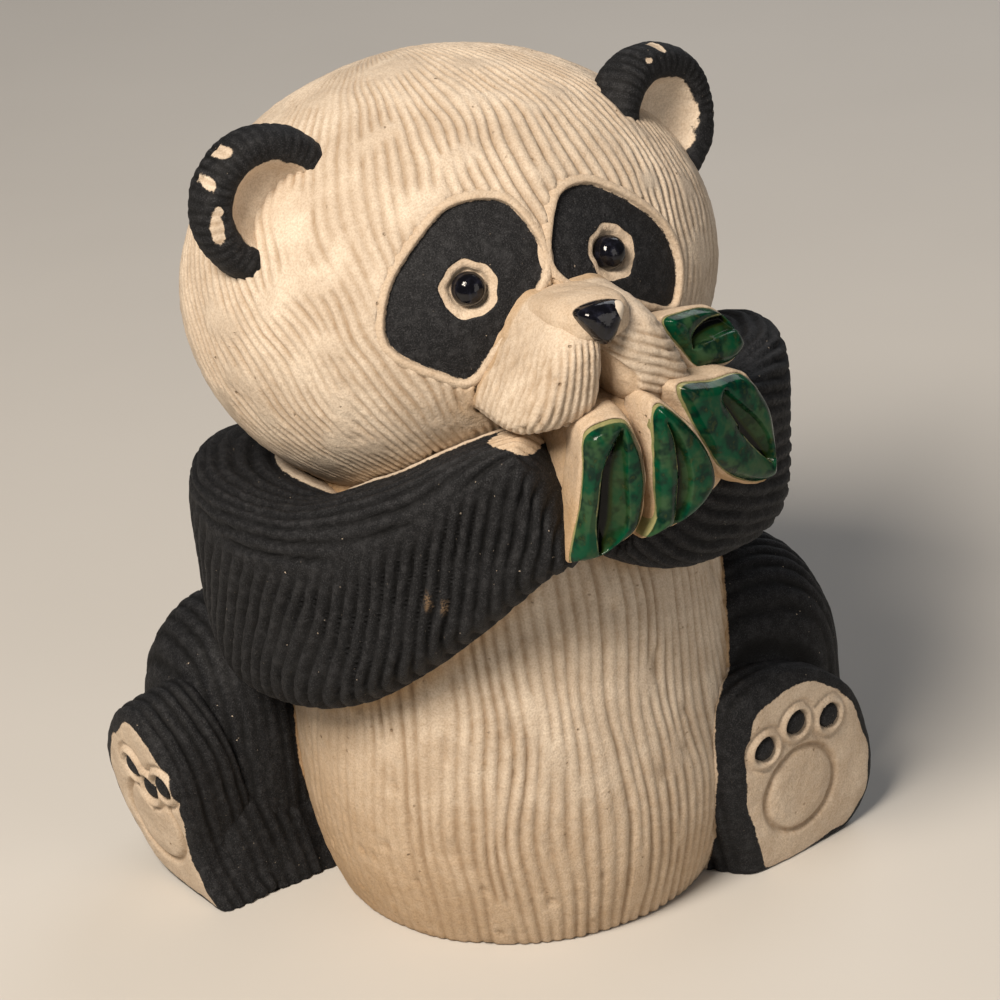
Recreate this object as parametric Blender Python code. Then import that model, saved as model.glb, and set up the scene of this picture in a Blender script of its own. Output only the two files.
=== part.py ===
"""A seated panda figurine, carved from clay and fired in one piece.

The panda sits upright with its legs spread, its head turned to its own left and both paws raised to
its mouth, where it chews a spray of four leaves. Metres, +Z up. The belly faces -Y, and the origin is
the middle of the flat underside.
"""

import math

import bmesh
import bpy
from mathutils import Matrix, Vector

# Driving dimensions. The figure's pose, proportions and carving are shares of its height, in units U,
# of which the ear tips are EAR_TIPS above the ground.
FIGURE_HEIGHT = 0.0967
EAR_TIPS = 96.7
U = FIGURE_HEIGHT / EAR_TIPS
HEAD_TURN = math.radians(24)
HEAD_CENTRE = Vector((-2.2, 4.0, 72.0)) * U
HEAD_RADII = Vector((30.4, 27.6, 24.8)) * U
BODY_AXIS = Vector((1.0, 0.0, 0.0)) * U
COMB_DEPTH = 0.42 * U
SLEEVE_COMB_DEPTH = 0.55 * U
PATCH_RECESS = 0.6 * U
PATCH_CUT_HEIGHT = 2.0 * U
EYE_SOCKET_RADIUS = 3.1 * U
EYE_SOCKET_DEPTH = 1.1 * U
EYE_BEAD_RADIUS = 1.9 * U
NOSE_DEPTH = 4.4 * U
TOE_SOCKET_RADIUS = 1.9 * U
TOE_SOCKET_DEPTH = 0.9 * U
TOE_BEAD_RADIUS = 1.3 * U
TOE_BEAD_DEPTH = 1.1 * U
PAD_RADIUS = 5.4 * U
PAD_GROOVE_RADIUS = 0.65 * U
EAR_RADIUS = 8.6 * U
EAR_RIM_WIDTH = 4.4 * U
EAR_THICKNESS = 6.4 * U
EAR_SEAT = 0.6 * U
EAR_DISC_THICKNESS = 2.4 * U
LEAF_THICKNESS = 6.0 * U
LEAF_BORDER = 0.9 * U
LEAF_STEP = 0.7 * U
LEAF_CHANNEL_DEPTH = 1.1 * U
LEAF_CHANNEL_HALF_WIDTH = 1.3 * U
# Shares of an arm's length over which its shoulder and its paw round off
RIGHT_ARM_ROUNDING = 0.05
LEFT_ARM_ROUNDING = 0.07
# The longest edge that is welded away where a cut passes close to a corner
WELD_DISTANCE = 0.00001

# Colour and roughness of the bare clay, the slip and the two glazes
FINISHES = {
    "cream_clay": ((0.62, 0.50, 0.38, 1), 0.85),
    "black_slip": ((0.022, 0.023, 0.026, 1), 0.80),
    "green_glaze": ((0.020, 0.085, 0.035, 1), 0.12),
    "black_glaze": ((0.005, 0.005, 0.008, 1), 0.06),
}


def finish(name):
    """The named material, made the first time it is asked for."""
    material = bpy.data.materials.get(name)
    if material is None:
        colour, roughness = FINISHES[name]
        material = bpy.data.materials.new(name)
        material.use_nodes = True
        shader = material.node_tree.nodes["Principled BSDF"]
        shader.inputs["Base Color"].default_value = colour
        shader.inputs["Roughness"].default_value = roughness
        shader.inputs["Metallic"].default_value = 0.0
        material.diffuse_color = colour
    return material


def collection(name):
    made = bpy.data.collections.new(name)
    bpy.context.scene.collection.children.link(made)
    return made


def add(mesh, material, group):
    """A form in one of the groups that are joined to the body or cut from it. It isn't rendered itself."""
    mesh.materials.append(finish(material))
    form = bpy.data.objects.new(mesh.name, mesh)
    group.objects.link(form)
    form.hide_render = True
    form.display_type = "WIRE"
    return form


# Frames


def head_frame():
    """The head's frame: -Y is the way that the face looks."""
    return Matrix.Translation(HEAD_CENTRE) @ Matrix.Rotation(HEAD_TURN, 4, "Z")


def facing(centre, bearing, rise, roll=0.0):
    """A frame at centre whose -Y looks along a bearing (degrees from -Y towards +X) and a rise."""
    turn = Matrix.Rotation(math.radians(bearing), 4, "Z") @ Matrix.Rotation(math.radians(-rise), 4, "X")
    return Matrix.Translation(centre) @ turn @ Matrix.Rotation(math.radians(roll), 4, "Y")


def on_head(bearing, rise, lift=0.0):
    """A point on the head in its own frame, lift metres outside the surface along the ray."""
    b, r = math.radians(bearing), math.radians(rise)
    ray = Vector((math.sin(b) * math.cos(r), -math.cos(b) * math.cos(r), math.sin(r)))
    reach = 1 / math.sqrt(sum((ray[i] / HEAD_RADII[i]) ** 2 for i in range(3)))
    return ray * (reach + lift)


# Smooth curves through a few points


def blend(a, b, c, d, t):
    """Catmull-Rom from b to c."""
    return b + 0.5 * t * (c - a + t * (2 * a - 5 * b + 4 * c - d + t * (3 * (b - c) + d - a)))


def between(stations, share):
    """The stations' values at a share from 0 to 1 of the way along them."""
    spans = len(stations) - 1
    at = min(share * spans, spans - 1e-6)
    i = int(at)
    near = [stations[max(0, min(spans, i + k))] for k in (-1, 0, 1, 2)]
    return [blend(*column, at - i) for column in zip(*near)]


def round_loop(points, share):
    """A closed curve through the points, at a share from 0 to 1 of the way round."""
    at = share % 1.0 * len(points)
    i = int(at)
    near = [points[(i + k) % len(points)] for k in (-1, 0, 1, 2)]
    return [blend(*column, at - i) for column in zip(*near)]


def power(value, exponent):
    return math.copysign(abs(value) ** exponent, value)


# Form makers: each starts from a primitive ball whose points a function then moves


def ball(name, columns, rows, place):
    """A UV sphere whose points go to place(share round, share down, column, row)."""
    bm = bmesh.new()
    bmesh.ops.create_uvsphere(bm, u_segments=columns, v_segments=rows, radius=1.0)
    for point in bm.verts:
        column = round(math.atan2(point.co.y, point.co.x) / math.tau * columns) % columns
        row = round(math.acos(max(-1.0, min(1.0, point.co.z))) / math.pi * rows)
        point.co = place(column / columns, row / rows, column, row)
    return closed(name, bm)


def torus(name, frame, major, across, along, steps, sides):
    """A ring round the frame's Y axis, whose section is an ellipse: half across it, and half along Y."""
    bm = bmesh.new()
    for side in range(sides):
        a = side / sides * math.tau
        bm.verts.new((major + across * math.cos(a), along * math.sin(a), 0))
    bm.verts.ensure_lookup_table()
    for side in range(sides):
        bm.edges.new((bm.verts[side], bm.verts[(side + 1) % sides]))
    section = bm.verts[:] + bm.edges[:]
    bmesh.ops.spin(bm, geom=section, axis=(0, 1, 0), angle=math.tau, steps=steps, use_merge=True)
    bmesh.ops.remove_doubles(bm, verts=bm.verts, dist=1e-6)
    bmesh.ops.transform(bm, matrix=frame, verts=bm.verts)
    return closed(name, bm)


def closed(name, bm):
    """The finished mesh, smooth shaded and with its faces pointing out."""
    bmesh.ops.recalc_face_normals(bm, faces=bm.faces)
    if bm.calc_volume(signed=True) < 0:
        bmesh.ops.reverse_faces(bm, faces=bm.faces)
    mesh = bpy.data.meshes.new(name)
    bm.to_mesh(mesh)
    bm.free()
    mesh.shade_smooth()
    mesh.set_sharp_from_angle(angle=math.radians(16))
    return mesh


def lobe(name, frame, radii, columns=20, rows=12, squareness=2.0, comb=0.0, poles=None):
    """An ellipsoid, boxier as squareness passes 2, with every other meridian pressed in by comb.

    The meridians meet at two poles, up and down unless a rotation leans them.
    """
    lean = poles or Matrix.Identity(3)

    def place(around, down, column, row):
        a, p = around * math.tau, down * math.pi
        unit = lean @ Vector((math.cos(a) * math.sin(p), math.sin(a) * math.sin(p), math.cos(p)))
        press = comb * math.sin(p) ** 0.5 * (column % 2)
        return frame @ Vector([power(unit[i], 2 / squareness) * (radii[i] - press) for i in range(3)])

    return ball(name, columns, rows, place)


def puck(name, frame, radius, half_depth, edge=5.0, columns=24, rows=8):
    """A thick round disc that faces -Y, flatter in front and behind as edge grows."""

    def place(around, down, column, row):
        a, p = around * math.tau, down * math.pi
        reach = radius * math.sin(p) ** (2 / edge) if 0 < row < rows else 0.0
        depth = -half_depth * power(math.cos(p), 2 / edge)
        return frame @ Vector((math.cos(a) * reach, depth, math.sin(a) * reach))

    return ball(name, columns, rows, place)


def pillow(name, frame, outline, depth, edge=5.0, columns=32, rows=6, grow=0.0, slant=0.0, swell=0.0):
    """A cushion-edged plate with a free outline in the frame's XZ plane, its front on the plane.

    It slides along X by slant metres for each metre that it goes back, and swells by a share midway.
    """
    middle = [sum(axis) / len(outline) for axis in zip(*outline)]

    def place(around, down, column, row):
        p = down * math.pi
        reach = math.sin(p) ** (2 / edge) if 0 < row < rows else 0.0
        x, z = (value - mid for value, mid in zip(round_loop(outline, around), middle))
        stretch = 1 + grow / math.hypot(x, z) + swell * math.sin(p)
        y = depth / 2 * (1 - power(math.cos(p), 2 / edge))
        return frame @ Vector((middle[0] + x * stretch * reach + y * slant, y, middle[1] + z * stretch * reach))

    return ball(name, columns, rows, place)


def limb(name, stations, section, out, columns, rows, comb, rounding):
    """A limb along stations of (x, y, z, half thickness, half height, ridge), in U, with rounded ends.

    The section's first value points away from the body, which out turns to the limb's other side where
    it is -1. A ridge runs along the limb at a share of the half height. The side above it is combed
    lengthwise and the outer side crosswise. Each end rounds off over a share of the limb's length.
    """
    cap_rows = 3

    def along(row):
        """How far along a row is, and its share of the full section."""
        if row > rows / 2:
            share, full = along(rows - row)
            return 1 - share, full
        if row <= cap_rows:
            angle = row / (cap_rows + 1) * math.pi / 2
            return rounding * (1 - math.cos(angle)), math.sin(angle) ** 0.7
        start = rounding * (1 - math.cos(cap_rows / (cap_rows + 1) * math.pi / 2))
        return start + (row - cap_rows) / (rows - 2 * cap_rows) * (1 - 2 * start), 1.0

    def place(around, down, column, row):
        share, full = along(row)
        x, y, z, thick, high, ridge = between(stations, share)
        ahead = between(stations, min(1.0, share + 0.02))
        behind = between(stations, max(0.0, share - 0.02))
        forward = (Vector(ahead[:3]) - Vector(behind[:3])).normalized()
        side = (forward.cross(Vector((0, 0, 1))) * out).normalized()
        side *= math.copysign(1, -forward.y)
        rise = Vector((0, 0, 1)) - forward * forward.z
        rise.normalize()
        u, v = round_loop(section(ridge), around)
        upper = v > ridge
        pressed = (column % 2 if upper else row % 2) * (full > 0.99) * comb / U
        middle = Vector((x, y, z))
        return (middle + side * (u * full * (thick - pressed)) + rise * (v * full * (high - pressed))) * U

    return ball(name, columns, rows, place)


# The figure's forms


def torso():
    """A full, round-bottomed body, combed from the neck to the ground."""
    # Height and radius, in U, from under the ground to inside the head
    profile = [(-6, 18), (-1.5, 21.4), (6, 24.2), (15, 25.6), (28, 25.4), (40, 24), (51, 21.5), (60, 17.5)]
    columns, rows = 68, 9

    def place(around, down, column, row):
        height, radius = between(profile, 1 - max(0, min(1, (row - 1) / (rows - 2))))
        reach = (radius * U - COMB_DEPTH * (column % 2)) if 0 < row < rows else 0.0
        angle = around * math.tau
        return BODY_AXIS + Vector((math.cos(angle) * reach, math.sin(angle) * reach, height * U))

    return ball("torso_form", columns, rows, place)


def head(group):
    """A broad head, combed in meridians from under the chin to the back of the crown."""
    chin_to_crown = Matrix.Rotation(math.radians(-34), 3, "X")
    skull = lobe("head_form", head_frame(), HEAD_RADII, columns=84, comb=COMB_DEPTH, poles=chin_to_crown)
    add(skull, "cream_clay", group)


def ears(group):
    """A thick dark ring round a dished disc of bare clay on each side of the crown."""
    tube = EAR_RIM_WIDTH / 2
    # Bearing and rise on the head, and the bearing that the ear faces from there
    for name, bearing, rise, look in (("right", -78, 33, 2), ("left", 75, 31, 22)):
        place = head_frame() @ facing(on_head(bearing, rise, -EAR_SEAT), look, 8)
        reach = EAR_RADIUS - tube
        rim = torus("ear_rim_form_" + name, place, reach, tube, EAR_THICKNESS / 2, steps=20, sides=6)
        add(rim, "black_slip", group)
        disc = puck("ear_disc_form_" + name, place, reach, EAR_DISC_THICKNESS / 2, edge=3.0, columns=14, rows=4)
        add(disc, "cream_clay", group)


def muzzle(group, beads):
    """Two combed puffs, wide below and narrow above, under a bridge that carries the nose."""
    frame = head_frame()
    columns, rows, box = 24, 12, 2 / 3.5
    # In U: the middle and half sizes of the puffs, and the mouth's line, a little left of the face's middle
    depth, half_depth, height, half_height, mouth = -27.5, 10.7, 0.8, 6.2, 1.4
    # How far the puffs reach out at mid height, and how much less with each U up
    reach, slope = 7.9, 0.62
    # How far the mouth opens, and how it widens below a height
    gap, parting, parted_below = 0.2, 0.10, 4.0
    for name, side in (("right", -1), ("left", 1)):

        def puff(around, down, column, row):
            """A boxy lobe whose outer side slopes from the bridge out to the cheek."""
            a, p = around * math.tau, down * math.pi
            across, deep, up = math.cos(a) * math.sin(p), math.sin(a) * math.sin(p), math.cos(p)
            z = power(up, box) * half_height
            inner = gap + parting * max(0.0, parted_below - z) + side * mouth
            width = reach - slope * z - inner
            x = inner + width / 2 * (1 + power(across, box)) - COMB_DEPTH / U / 2 * (column % 2)
            return frame @ (Vector((side * x, depth + power(deep, box) * half_depth, z + height)) * U)

        add(ball("puff_form_" + name, columns, rows, puff), "cream_clay", group)
    at = frame @ Matrix.Translation(Vector((0.4, -29.5, 3.6)) * U)
    bridge = lobe("bridge_form", at, Vector((4.4, 10.4, 4.6)) * U, columns=14, rows=8, squareness=2.8)
    add(bridge, "cream_clay", group)
    nose = [(-2.6, 1.5), (0, 2.2), (2.6, 1.5), (1.5, -1.1), (0, -2.4), (-1.5, -1.1)]
    nose = [(x * U, z * U) for x, z in nose]
    at = frame @ facing(Vector((0, -38.8, 7.0)) * U, 0, 14)
    add(pillow("nose_form", at, nose, NOSE_DEPTH, edge=2.6, columns=12), "black_glaze", beads)


# The eye patches' outlines, as bearings and rises in degrees on the head, and the eyes' place on it
EYE_PATCHES = {
    "right": [(-12, 37), (-5, 34), (-1, 25), (-2, 18), (-8, 12), (-16, 4), (-21.5, -2), (-28, 0.5), (-36, 5),
              (-38.5, 10), (-37, 19), (-32, 27), (-23, 35.5)],
    "left": [(20, 34), (27, 29.5), (33, 23), (37, 16), (37.5, 8), (34, 0.5), (27, 3), (17, 9), (7, 14),
             (2.5, 19.5), (4.5, 26), (11, 33.5)],
}
EYE_BEARING = 19.5
EYE_RISE = 17.5


def eyes(group, cutters, beads):
    """Recessed slip patches, each with a socket of bare clay and a glazed bead."""
    frame = head_frame()
    rows = 6
    for name, side in (("right", -1), ("left", 1)):
        outline = EYE_PATCHES[name]
        middle = Vector([sum(axis) / len(outline) for axis in zip(*outline)])

        def patch(around, down, column, row):
            """A shell over the patch, from its recessed floor to clear of the head."""
            spread = math.sin(down * math.pi) ** 0.7 if 0 < row < rows else 0.0
            bearing, rise = middle + (Vector(round_loop(outline, around)) - middle) * spread
            lift = PATCH_CUT_HEIGHT if row >= rows / 2 else -PATCH_RECESS - COMB_DEPTH
            return frame @ on_head(bearing, rise, lift)

        add(ball("patch_cutter_" + name, 30, rows, patch), "black_slip", cutters)
        floor = -PATCH_RECESS - COMB_DEPTH - EYE_SOCKET_DEPTH
        at = frame @ facing(on_head(side * EYE_BEARING, EYE_RISE, floor), side * EYE_BEARING, EYE_RISE)
        reach = PATCH_CUT_HEIGHT + EYE_SOCKET_DEPTH
        out = at @ Matrix.Translation((0, -reach, 0))
        socket = puck("socket_cutter_" + name, out, EYE_SOCKET_RADIUS, reach, edge=9.0, columns=14, rows=4)
        add(socket, "cream_clay", cutters)
        add(lobe("eye_form_" + name, at, [EYE_BEAD_RADIUS] * 3, columns=12, rows=8), "black_glaze", beads)


def sleeve(ridge):
    """A sleeve's section: away from the body and up, as shares of its half thickness and half height."""
    return [(1.03, ridge - 0.14), (1.04, -0.2), (0.9, -0.72), (0.25, -1.0), (-0.8, -0.85), (-1, 0.0),
            (-0.9, 0.86), (0.1, 0.84), (0.95, ridge)]


def arms(group):
    """Both sleeves, from the shoulders round to the paws at the mouth."""
    right = [
        (-18, 11, 41.5, 9, 11.5, 0.8), (-24.2, 3, 42.6, 9.0, 12.8, 0.78), (-23.0, -7, 42.3, 9.2, 13.8, 0.62),
        (-17.0, -15.8, 43.9, 8.8, 12.8, 0.5), (-7.5, -22.0, 50.3, 8.4, 10.8, 0.45),
        (1.5, -26.0, 57.0, 7.5, 9, 0.6), (8.0, -28.3, 59.8, 6.6, 8, 0.75),
    ]
    left = [
        (22, 12, 48, 9, 11.5, 0.7), (25, 5, 51.0, 9.3, 12.0, 0.7), (25, -3, 52.3, 9, 11.5, 0.7),
        (22, -11, 53.3, 8.5, 10.5, 0.7), (17, -18, 55, 8, 9.5, 0.7), (12, -22, 58, 7, 8, 0.7),
    ]
    for name, stations, out, rows, rounding in (
        ("right", right, 1, 30, RIGHT_ARM_ROUNDING), ("left", left, -1, 22, LEFT_ARM_ROUNDING),
    ):
        arm = limb("arm_form_" + name, stations, sleeve, out, 18, rows, SLEEVE_COMB_DEPTH, rounding)
        add(arm, "black_slip", group)


# Each leg: the thigh's middle and half sizes, and the sole's middle, bearing and rise. The foot goes back
# from the sole by its depth, sliding sideways by its slant, and the shin goes on from there to the body.
LEGS = {
    "left": {
        "hip": (25.5, 3.5, 17), "thigh": (14, 11.5, 19.5),
        "sole": (34.4, -6.8, 9.8), "bearing": 38, "rise": -4,
        "foot_depth": 13.0, "slant": -0.5, "swell": 0.14,
        "outline": [
            (-0.5, 13.2), (-5.6, 13.6), (-9.5, 11.8), (-11, 7.4), (-11, 2.1), (-10.3, -2.4), (-8.7, -7.2),
            (-7, -10.4), (0.7, -10.6), (5.6, -9.5), (8.8, -6.8), (9.9, -2.4), (8.4, 4.4), (5.4, 9.4),
        ],
        "shin": [(-8, 6), (-9, -2), (-8, -13), (0, -14), (6, -13), (7, -3), (4, 6), (-3, 9)],
        "shin_depth": 18.0, "pad": (-2.0, -0.8), "toes": ((-7.5, 6.7), (-2.6, 8.2), (2.6, 7.0)),
    },
    "right": {
        "hip": (-31.3, 8.4, 13.5), "thigh": (12.0, 11.0, 19.0),
        "sole": (-42.5, -2.8, 11.6), "bearing": -56, "rise": -10,
        "foot_depth": 9.5, "slant": 0.0, "swell": 0.10,
        "outline": [
            (1.0, 11.8), (-3.0, 10.4), (-6.6, 6.5), (-8.8, 1.4), (-8.4, -3.2), (-6.5, -7.5), (-3.0, -11.0),
            (3.8, -11.8), (9.0, -11.8), (8.3, -8.8), (7.2, -4.8), (7.5, 0.5), (7.0, 5.6), (4.7, 9.6),
        ],
        "shin": [
            (0, 7), (-5, 4), (-7, -3), (-5, -14), (3, -17), (9.6, -16), (9.2, -9), (8, -3), (6, 2), (3.5, 6),
        ],
        "shin_depth": 24.0, "pad": (0.2, -2.4), "toes": ((-1.6, 4.7), (1.4, 2.8), (4.6, 4.2)),
    },
}


def leg(name, group, cutters, beads):
    """A thigh, a shin and a foot whose flat sole looks along a bearing, with three toes over a round pad."""
    shape = LEGS[name]
    slant = shape["slant"]
    foot_outline, shin_outline = ([(x * U, z * U) for x, z in shape[key]] for key in ("outline", "shin"))
    hip = facing(Vector(shape["hip"]) * U, shape["bearing"], 0)
    thigh = lobe("thigh_form_" + name, hip, Vector(shape["thigh"]) * U, squareness=2.3)
    add(thigh, "black_slip", group)
    front = facing(Vector(shape["sole"]) * U, shape["bearing"], shape["rise"])
    foot = pillow("foot_form_" + name, front, foot_outline, shape["foot_depth"] * U, edge=8.0, columns=28,
                  rows=8, slant=slant, swell=shape["swell"])
    add(foot, "black_slip", group)
    # The shin starts inside the foot, a third of the way back
    behind = front @ Matrix.Translation((0, shape["foot_depth"] / 3 * U, 0))
    shin = pillow("shin_form_" + name, behind, shin_outline, shape["shin_depth"] * U, edge=7.0, columns=20,
                  slant=slant)
    add(shin, "black_slip", group)
    x, z = shape["pad"]
    pad = front @ Matrix.Translation(Vector((x, 0, z)) * U)
    groove = torus("pad_cutter_" + name, pad, PAD_RADIUS, PAD_GROOVE_RADIUS, PAD_GROOVE_RADIUS, 18, 4)
    add(groove, "cream_clay", cutters)
    for number, (x, z) in enumerate(shape["toes"], 1):
        spot = front @ Matrix.Translation(Vector((x, 0, z)) * U)
        socket = puck(f"toe_cutter_{name}_{number}", spot, TOE_SOCKET_RADIUS, TOE_SOCKET_DEPTH, 4.0, 10, 4)
        add(socket, "cream_clay", cutters)
        toe = puck(f"toe_form_{name}_{number}", spot, TOE_BEAD_RADIUS, TOE_BEAD_DEPTH, 2.5, 8, 4)
        add(toe, "black_slip", beads)


# Each leaf: centre, bearing and rise of its face, outline, and the ends of its channel, all in U
LEAVES = [
    ((12.8, -34, 61.2), 14, 0,
     [(1.8, 7.7), (-2.3, 7.0), (-3.0, 2.8), (-3.6, -1), (-5.1, -6.8), (-4.1, -7.5), (-1.9, -7.4),
      (0.3, -6.4), (2.6, -4.8), (3.6, -1.1), (3.8, 1.4), (3.4, 4.5)], (1.0, 7.2), (-1.4, -7.4)),
    ((20.4, -31, 61.6), 28, 0,
     [(-1.6, 7.9), (-3.0, 7.2), (-3.3, 3.2), (-3.5, -0.5), (-3.6, -4.2), (-4.9, -6.6), (-2.5, -6.3),
      (0.2, -5.9), (2.7, -4.4), (4.1, -2.4), (3.6, 0.6), (1.6, 4.3)], (-2.1, 6.9), (0.2, -5.0)),
    ((26.5, -25, 63.5), 44, 5,
     [(-7.1, 7.0), (-2.2, 5.9), (2, 5.2), (4.3, 2.9), (5.7, -0.8), (5.8, -4.5), (5.4, -7.6), (3.6, -8), (1, -7),
      (-2.3, -4.4), (-4.7, -0.2), (-6.3, 3.4)], (-1.3, 4.1), (4.4, -6.4)),
    ((24.1, -20, 71.6), 44, 20,
     [(-4.6, 3.5), (-1.9, 3.7), (1.9, 2.9), (4.1, 1.2), (5.4, -1.7), (5, -3.1), (3, -3.7), (0.5, -3.3),
      (-1.9, -2.6), (-3.3, -0.2)], (3.4, 1.6), (-3.1, -0.5)),
]


def leaves(group, cutters, beads):
    """Four glazed leaves, channelled along the middle, on a block of bare clay between the paws."""
    for number, (centre, bearing, rise, outline, start, end) in enumerate(LEAVES, 1):
        outline = [(x * U, z * U) for x, z in outline]
        face = facing(Vector(centre) * U, bearing, rise)
        step = face @ Matrix.Translation((0, LEAF_STEP, 0))
        base = pillow(f"leaf_base_form_{number}", step, outline, LEAF_THICKNESS, edge=7.0, columns=22, rows=4,
                      grow=LEAF_BORDER)
        add(base, "cream_clay", group)
        add(pillow(f"leaf_form_{number}", face, outline, LEAF_THICKNESS, columns=22), "green_glaze", group)
        start, end = Vector((start[0], 0, start[1])) * U, Vector((end[0], 0, end[1])) * U
        run = end - start
        slant = math.atan2(run.x, -run.z)
        at = face @ Matrix.Translation((start + end) / 2) @ Matrix.Rotation(slant, 4, "Y")
        radii = (LEAF_CHANNEL_HALF_WIDTH, LEAF_CHANNEL_DEPTH, run.length / 2)
        add(lobe(f"channel_cutter_{number}", at, radii, columns=8, rows=8), "green_glaze", cutters)
    at = facing(Vector((15.5, -21.5, 61)) * U, 30, 0)
    block = lobe("leaf_block_form", at, Vector((11, 7, 8.0)) * U, columns=14, rows=8, squareness=3.0)
    add(block, "cream_clay", group)


def boolean(body, operation, operand):
    """A Boolean modifier whose operand is an object or a whole collection."""
    cut = body.modifiers.new(operand.name, "BOOLEAN")
    cut.operation = operation
    cut.solver = "EXACT"
    cut.material_mode = "TRANSFER"
    if isinstance(operand, bpy.types.Collection):
        cut.operand_type = "COLLECTION"
        cut.collection = operand
    else:
        cut.object = operand
    weld = body.modifiers.new("weld_" + operand.name, "WELD")
    weld.merge_threshold = WELD_DISTANCE


def ground(group):
    """A block whose top is the ground, which cuts the underside flat."""
    bm = bmesh.new()
    bmesh.ops.create_cube(bm, size=2 * FIGURE_HEIGHT, matrix=Matrix.Translation((0, 0, -FIGURE_HEIGHT)))
    mesh = bpy.data.meshes.new("ground_cutter")
    bm.to_mesh(mesh)
    bm.free()
    return add(mesh, "cream_clay", group)


def build():
    for obj in list(bpy.data.objects):
        bpy.data.objects.remove(obj)
    # The figurine itself, and the forms that are joined to it, cut from it and set into it, in that order
    figurine = collection("panda_figurine")
    forms = collection("panda_figurine_forms")
    cutters = collection("panda_figurine_cutters")
    beads = collection("panda_figurine_beads")
    guides = collection("panda_figurine_ground")

    head(forms)
    ears(forms)
    muzzle(forms, beads)
    eyes(forms, cutters, beads)
    arms(forms)
    for name in LEGS:
        leg(name, forms, cutters, beads)
    leaves(forms, cutters, beads)

    mesh = torso()
    mesh.materials.append(finish("cream_clay"))
    body = bpy.data.objects.new("panda_figurine", mesh)
    figurine.objects.link(body)
    boolean(body, "UNION", forms)
    boolean(body, "DIFFERENCE", ground(guides))
    boolean(body, "DIFFERENCE", cutters)
    boolean(body, "UNION", beads)


if __name__ == "__main__":
    build()
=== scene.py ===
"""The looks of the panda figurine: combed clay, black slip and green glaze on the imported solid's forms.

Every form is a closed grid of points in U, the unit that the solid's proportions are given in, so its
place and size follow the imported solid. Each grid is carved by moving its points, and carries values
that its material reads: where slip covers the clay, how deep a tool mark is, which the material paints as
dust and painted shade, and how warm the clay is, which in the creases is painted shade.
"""

import itertools
import math

import bpy
import numpy as np
from mathutils import Matrix, Vector, kdtree


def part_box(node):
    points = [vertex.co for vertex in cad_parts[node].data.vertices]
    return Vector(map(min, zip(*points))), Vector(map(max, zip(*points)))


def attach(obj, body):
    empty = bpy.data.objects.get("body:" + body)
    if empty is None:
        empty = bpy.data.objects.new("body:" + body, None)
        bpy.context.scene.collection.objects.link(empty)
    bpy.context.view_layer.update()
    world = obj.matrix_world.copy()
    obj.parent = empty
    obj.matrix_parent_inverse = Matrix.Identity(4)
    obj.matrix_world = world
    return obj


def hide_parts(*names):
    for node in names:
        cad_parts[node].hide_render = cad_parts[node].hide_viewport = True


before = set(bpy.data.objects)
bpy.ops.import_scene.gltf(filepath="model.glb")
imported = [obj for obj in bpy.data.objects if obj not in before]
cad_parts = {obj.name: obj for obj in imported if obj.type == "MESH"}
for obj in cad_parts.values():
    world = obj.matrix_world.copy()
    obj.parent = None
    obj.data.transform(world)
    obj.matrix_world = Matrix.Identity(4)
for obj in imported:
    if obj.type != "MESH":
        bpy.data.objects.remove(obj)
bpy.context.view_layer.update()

NODE = "panda_figurine"
EAR_TIPS = 96.7
low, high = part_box(NODE)
U = (high.z - low.z) / EAR_TIPS

HEAD_TURN = 24
HEAD_CENTRE = Vector((-2.2, 4.0, 72.0))
HEAD_RADII = np.array([30.4, 27.6, 24.8])
HEAD_LINES, HEAD_ROWS = 130, 148
TORSO_CENTRE = np.array([1.0, 0.0, 0.0])
TORSO_LINES, TORSO_ROWS = 106, 112
# How deep each form's tool marks are and how far apart, in U. The head and the torso count theirs instead
COMB_DEPTH = {"head": 0.42, "torso": 0.36, "puff": 0.30, "sleeve": 0.78, "foot": 0.30, "shin": 0.30,
              "thigh": 0.34, "ear": 0.10}
COMB_PITCH = {"puff": 0.98, "left_puff": 1.05, "sleeve_across": 1.6, "sleeve_along": 1.25,
              "left_sleeve": 1.7, "foot": 1.55, "shin": 1.6, "thigh": 1.5}
# The depth at which a mark on the head is fully darkened, as dust and painted shade
DUST_AND_SHADE_DEPTH = 0.34
EAR_RIBS = 44
# Where the points lie across one tool mark, and how much of its depth each takes
COMB_PHASES = np.array([0.0, 0.28, 0.46, 0.60, 0.80])
COMB_CUTS = np.array([0.0, 0.12, 0.9, 1.0, 0.3])


# Repeatable noise and small formulas


# Large primes that mix a cell's three whole numbers and the seed, and 32 bits to keep of the result
CELL_PRIMES, SEED_PRIME, MIX_PRIME = (73856093, 19349663, 83492791), 49979687, 1274126177
BITS = 0xFFFFFFFF


def lattice(cells, seed):
    """A value from 0 to 1 for each cell of whole numbers."""
    mixed = seed * SEED_PRIME
    for axis, prime in enumerate(CELL_PRIMES):
        mixed = mixed ^ cells[..., axis] * prime
    mixed = mixed & BITS
    for step in (15, 13):
        mixed = ((mixed ^ mixed >> step) * MIX_PRIME) & BITS
    return (mixed ^ mixed >> 16) / BITS


def noise(points, size, seed):
    """Smooth noise from -1 to 1, with features about size across."""
    at = points / size
    cell = np.floor(at).astype(np.int64)
    part = at - cell
    part = part * part * (3 - 2 * part)
    total = 0
    for corner in itertools.product((0, 1), repeat=3):
        corner = np.array(corner)
        weight = np.where(corner, part, 1 - part).prod(-1)
        total = total + weight * lattice(cell + corner, seed)
    return 2 * total - 1


def ease(start, end, value):
    """0 before start and 1 after end, smoothly between."""
    t = np.clip((value - start) / (end - start), 0, 1)
    return t * t * (3 - 2 * t)


def power(value, exponent):
    """A power that keeps the value's sign."""
    return np.copysign(np.abs(value) ** exponent, value)


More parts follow.
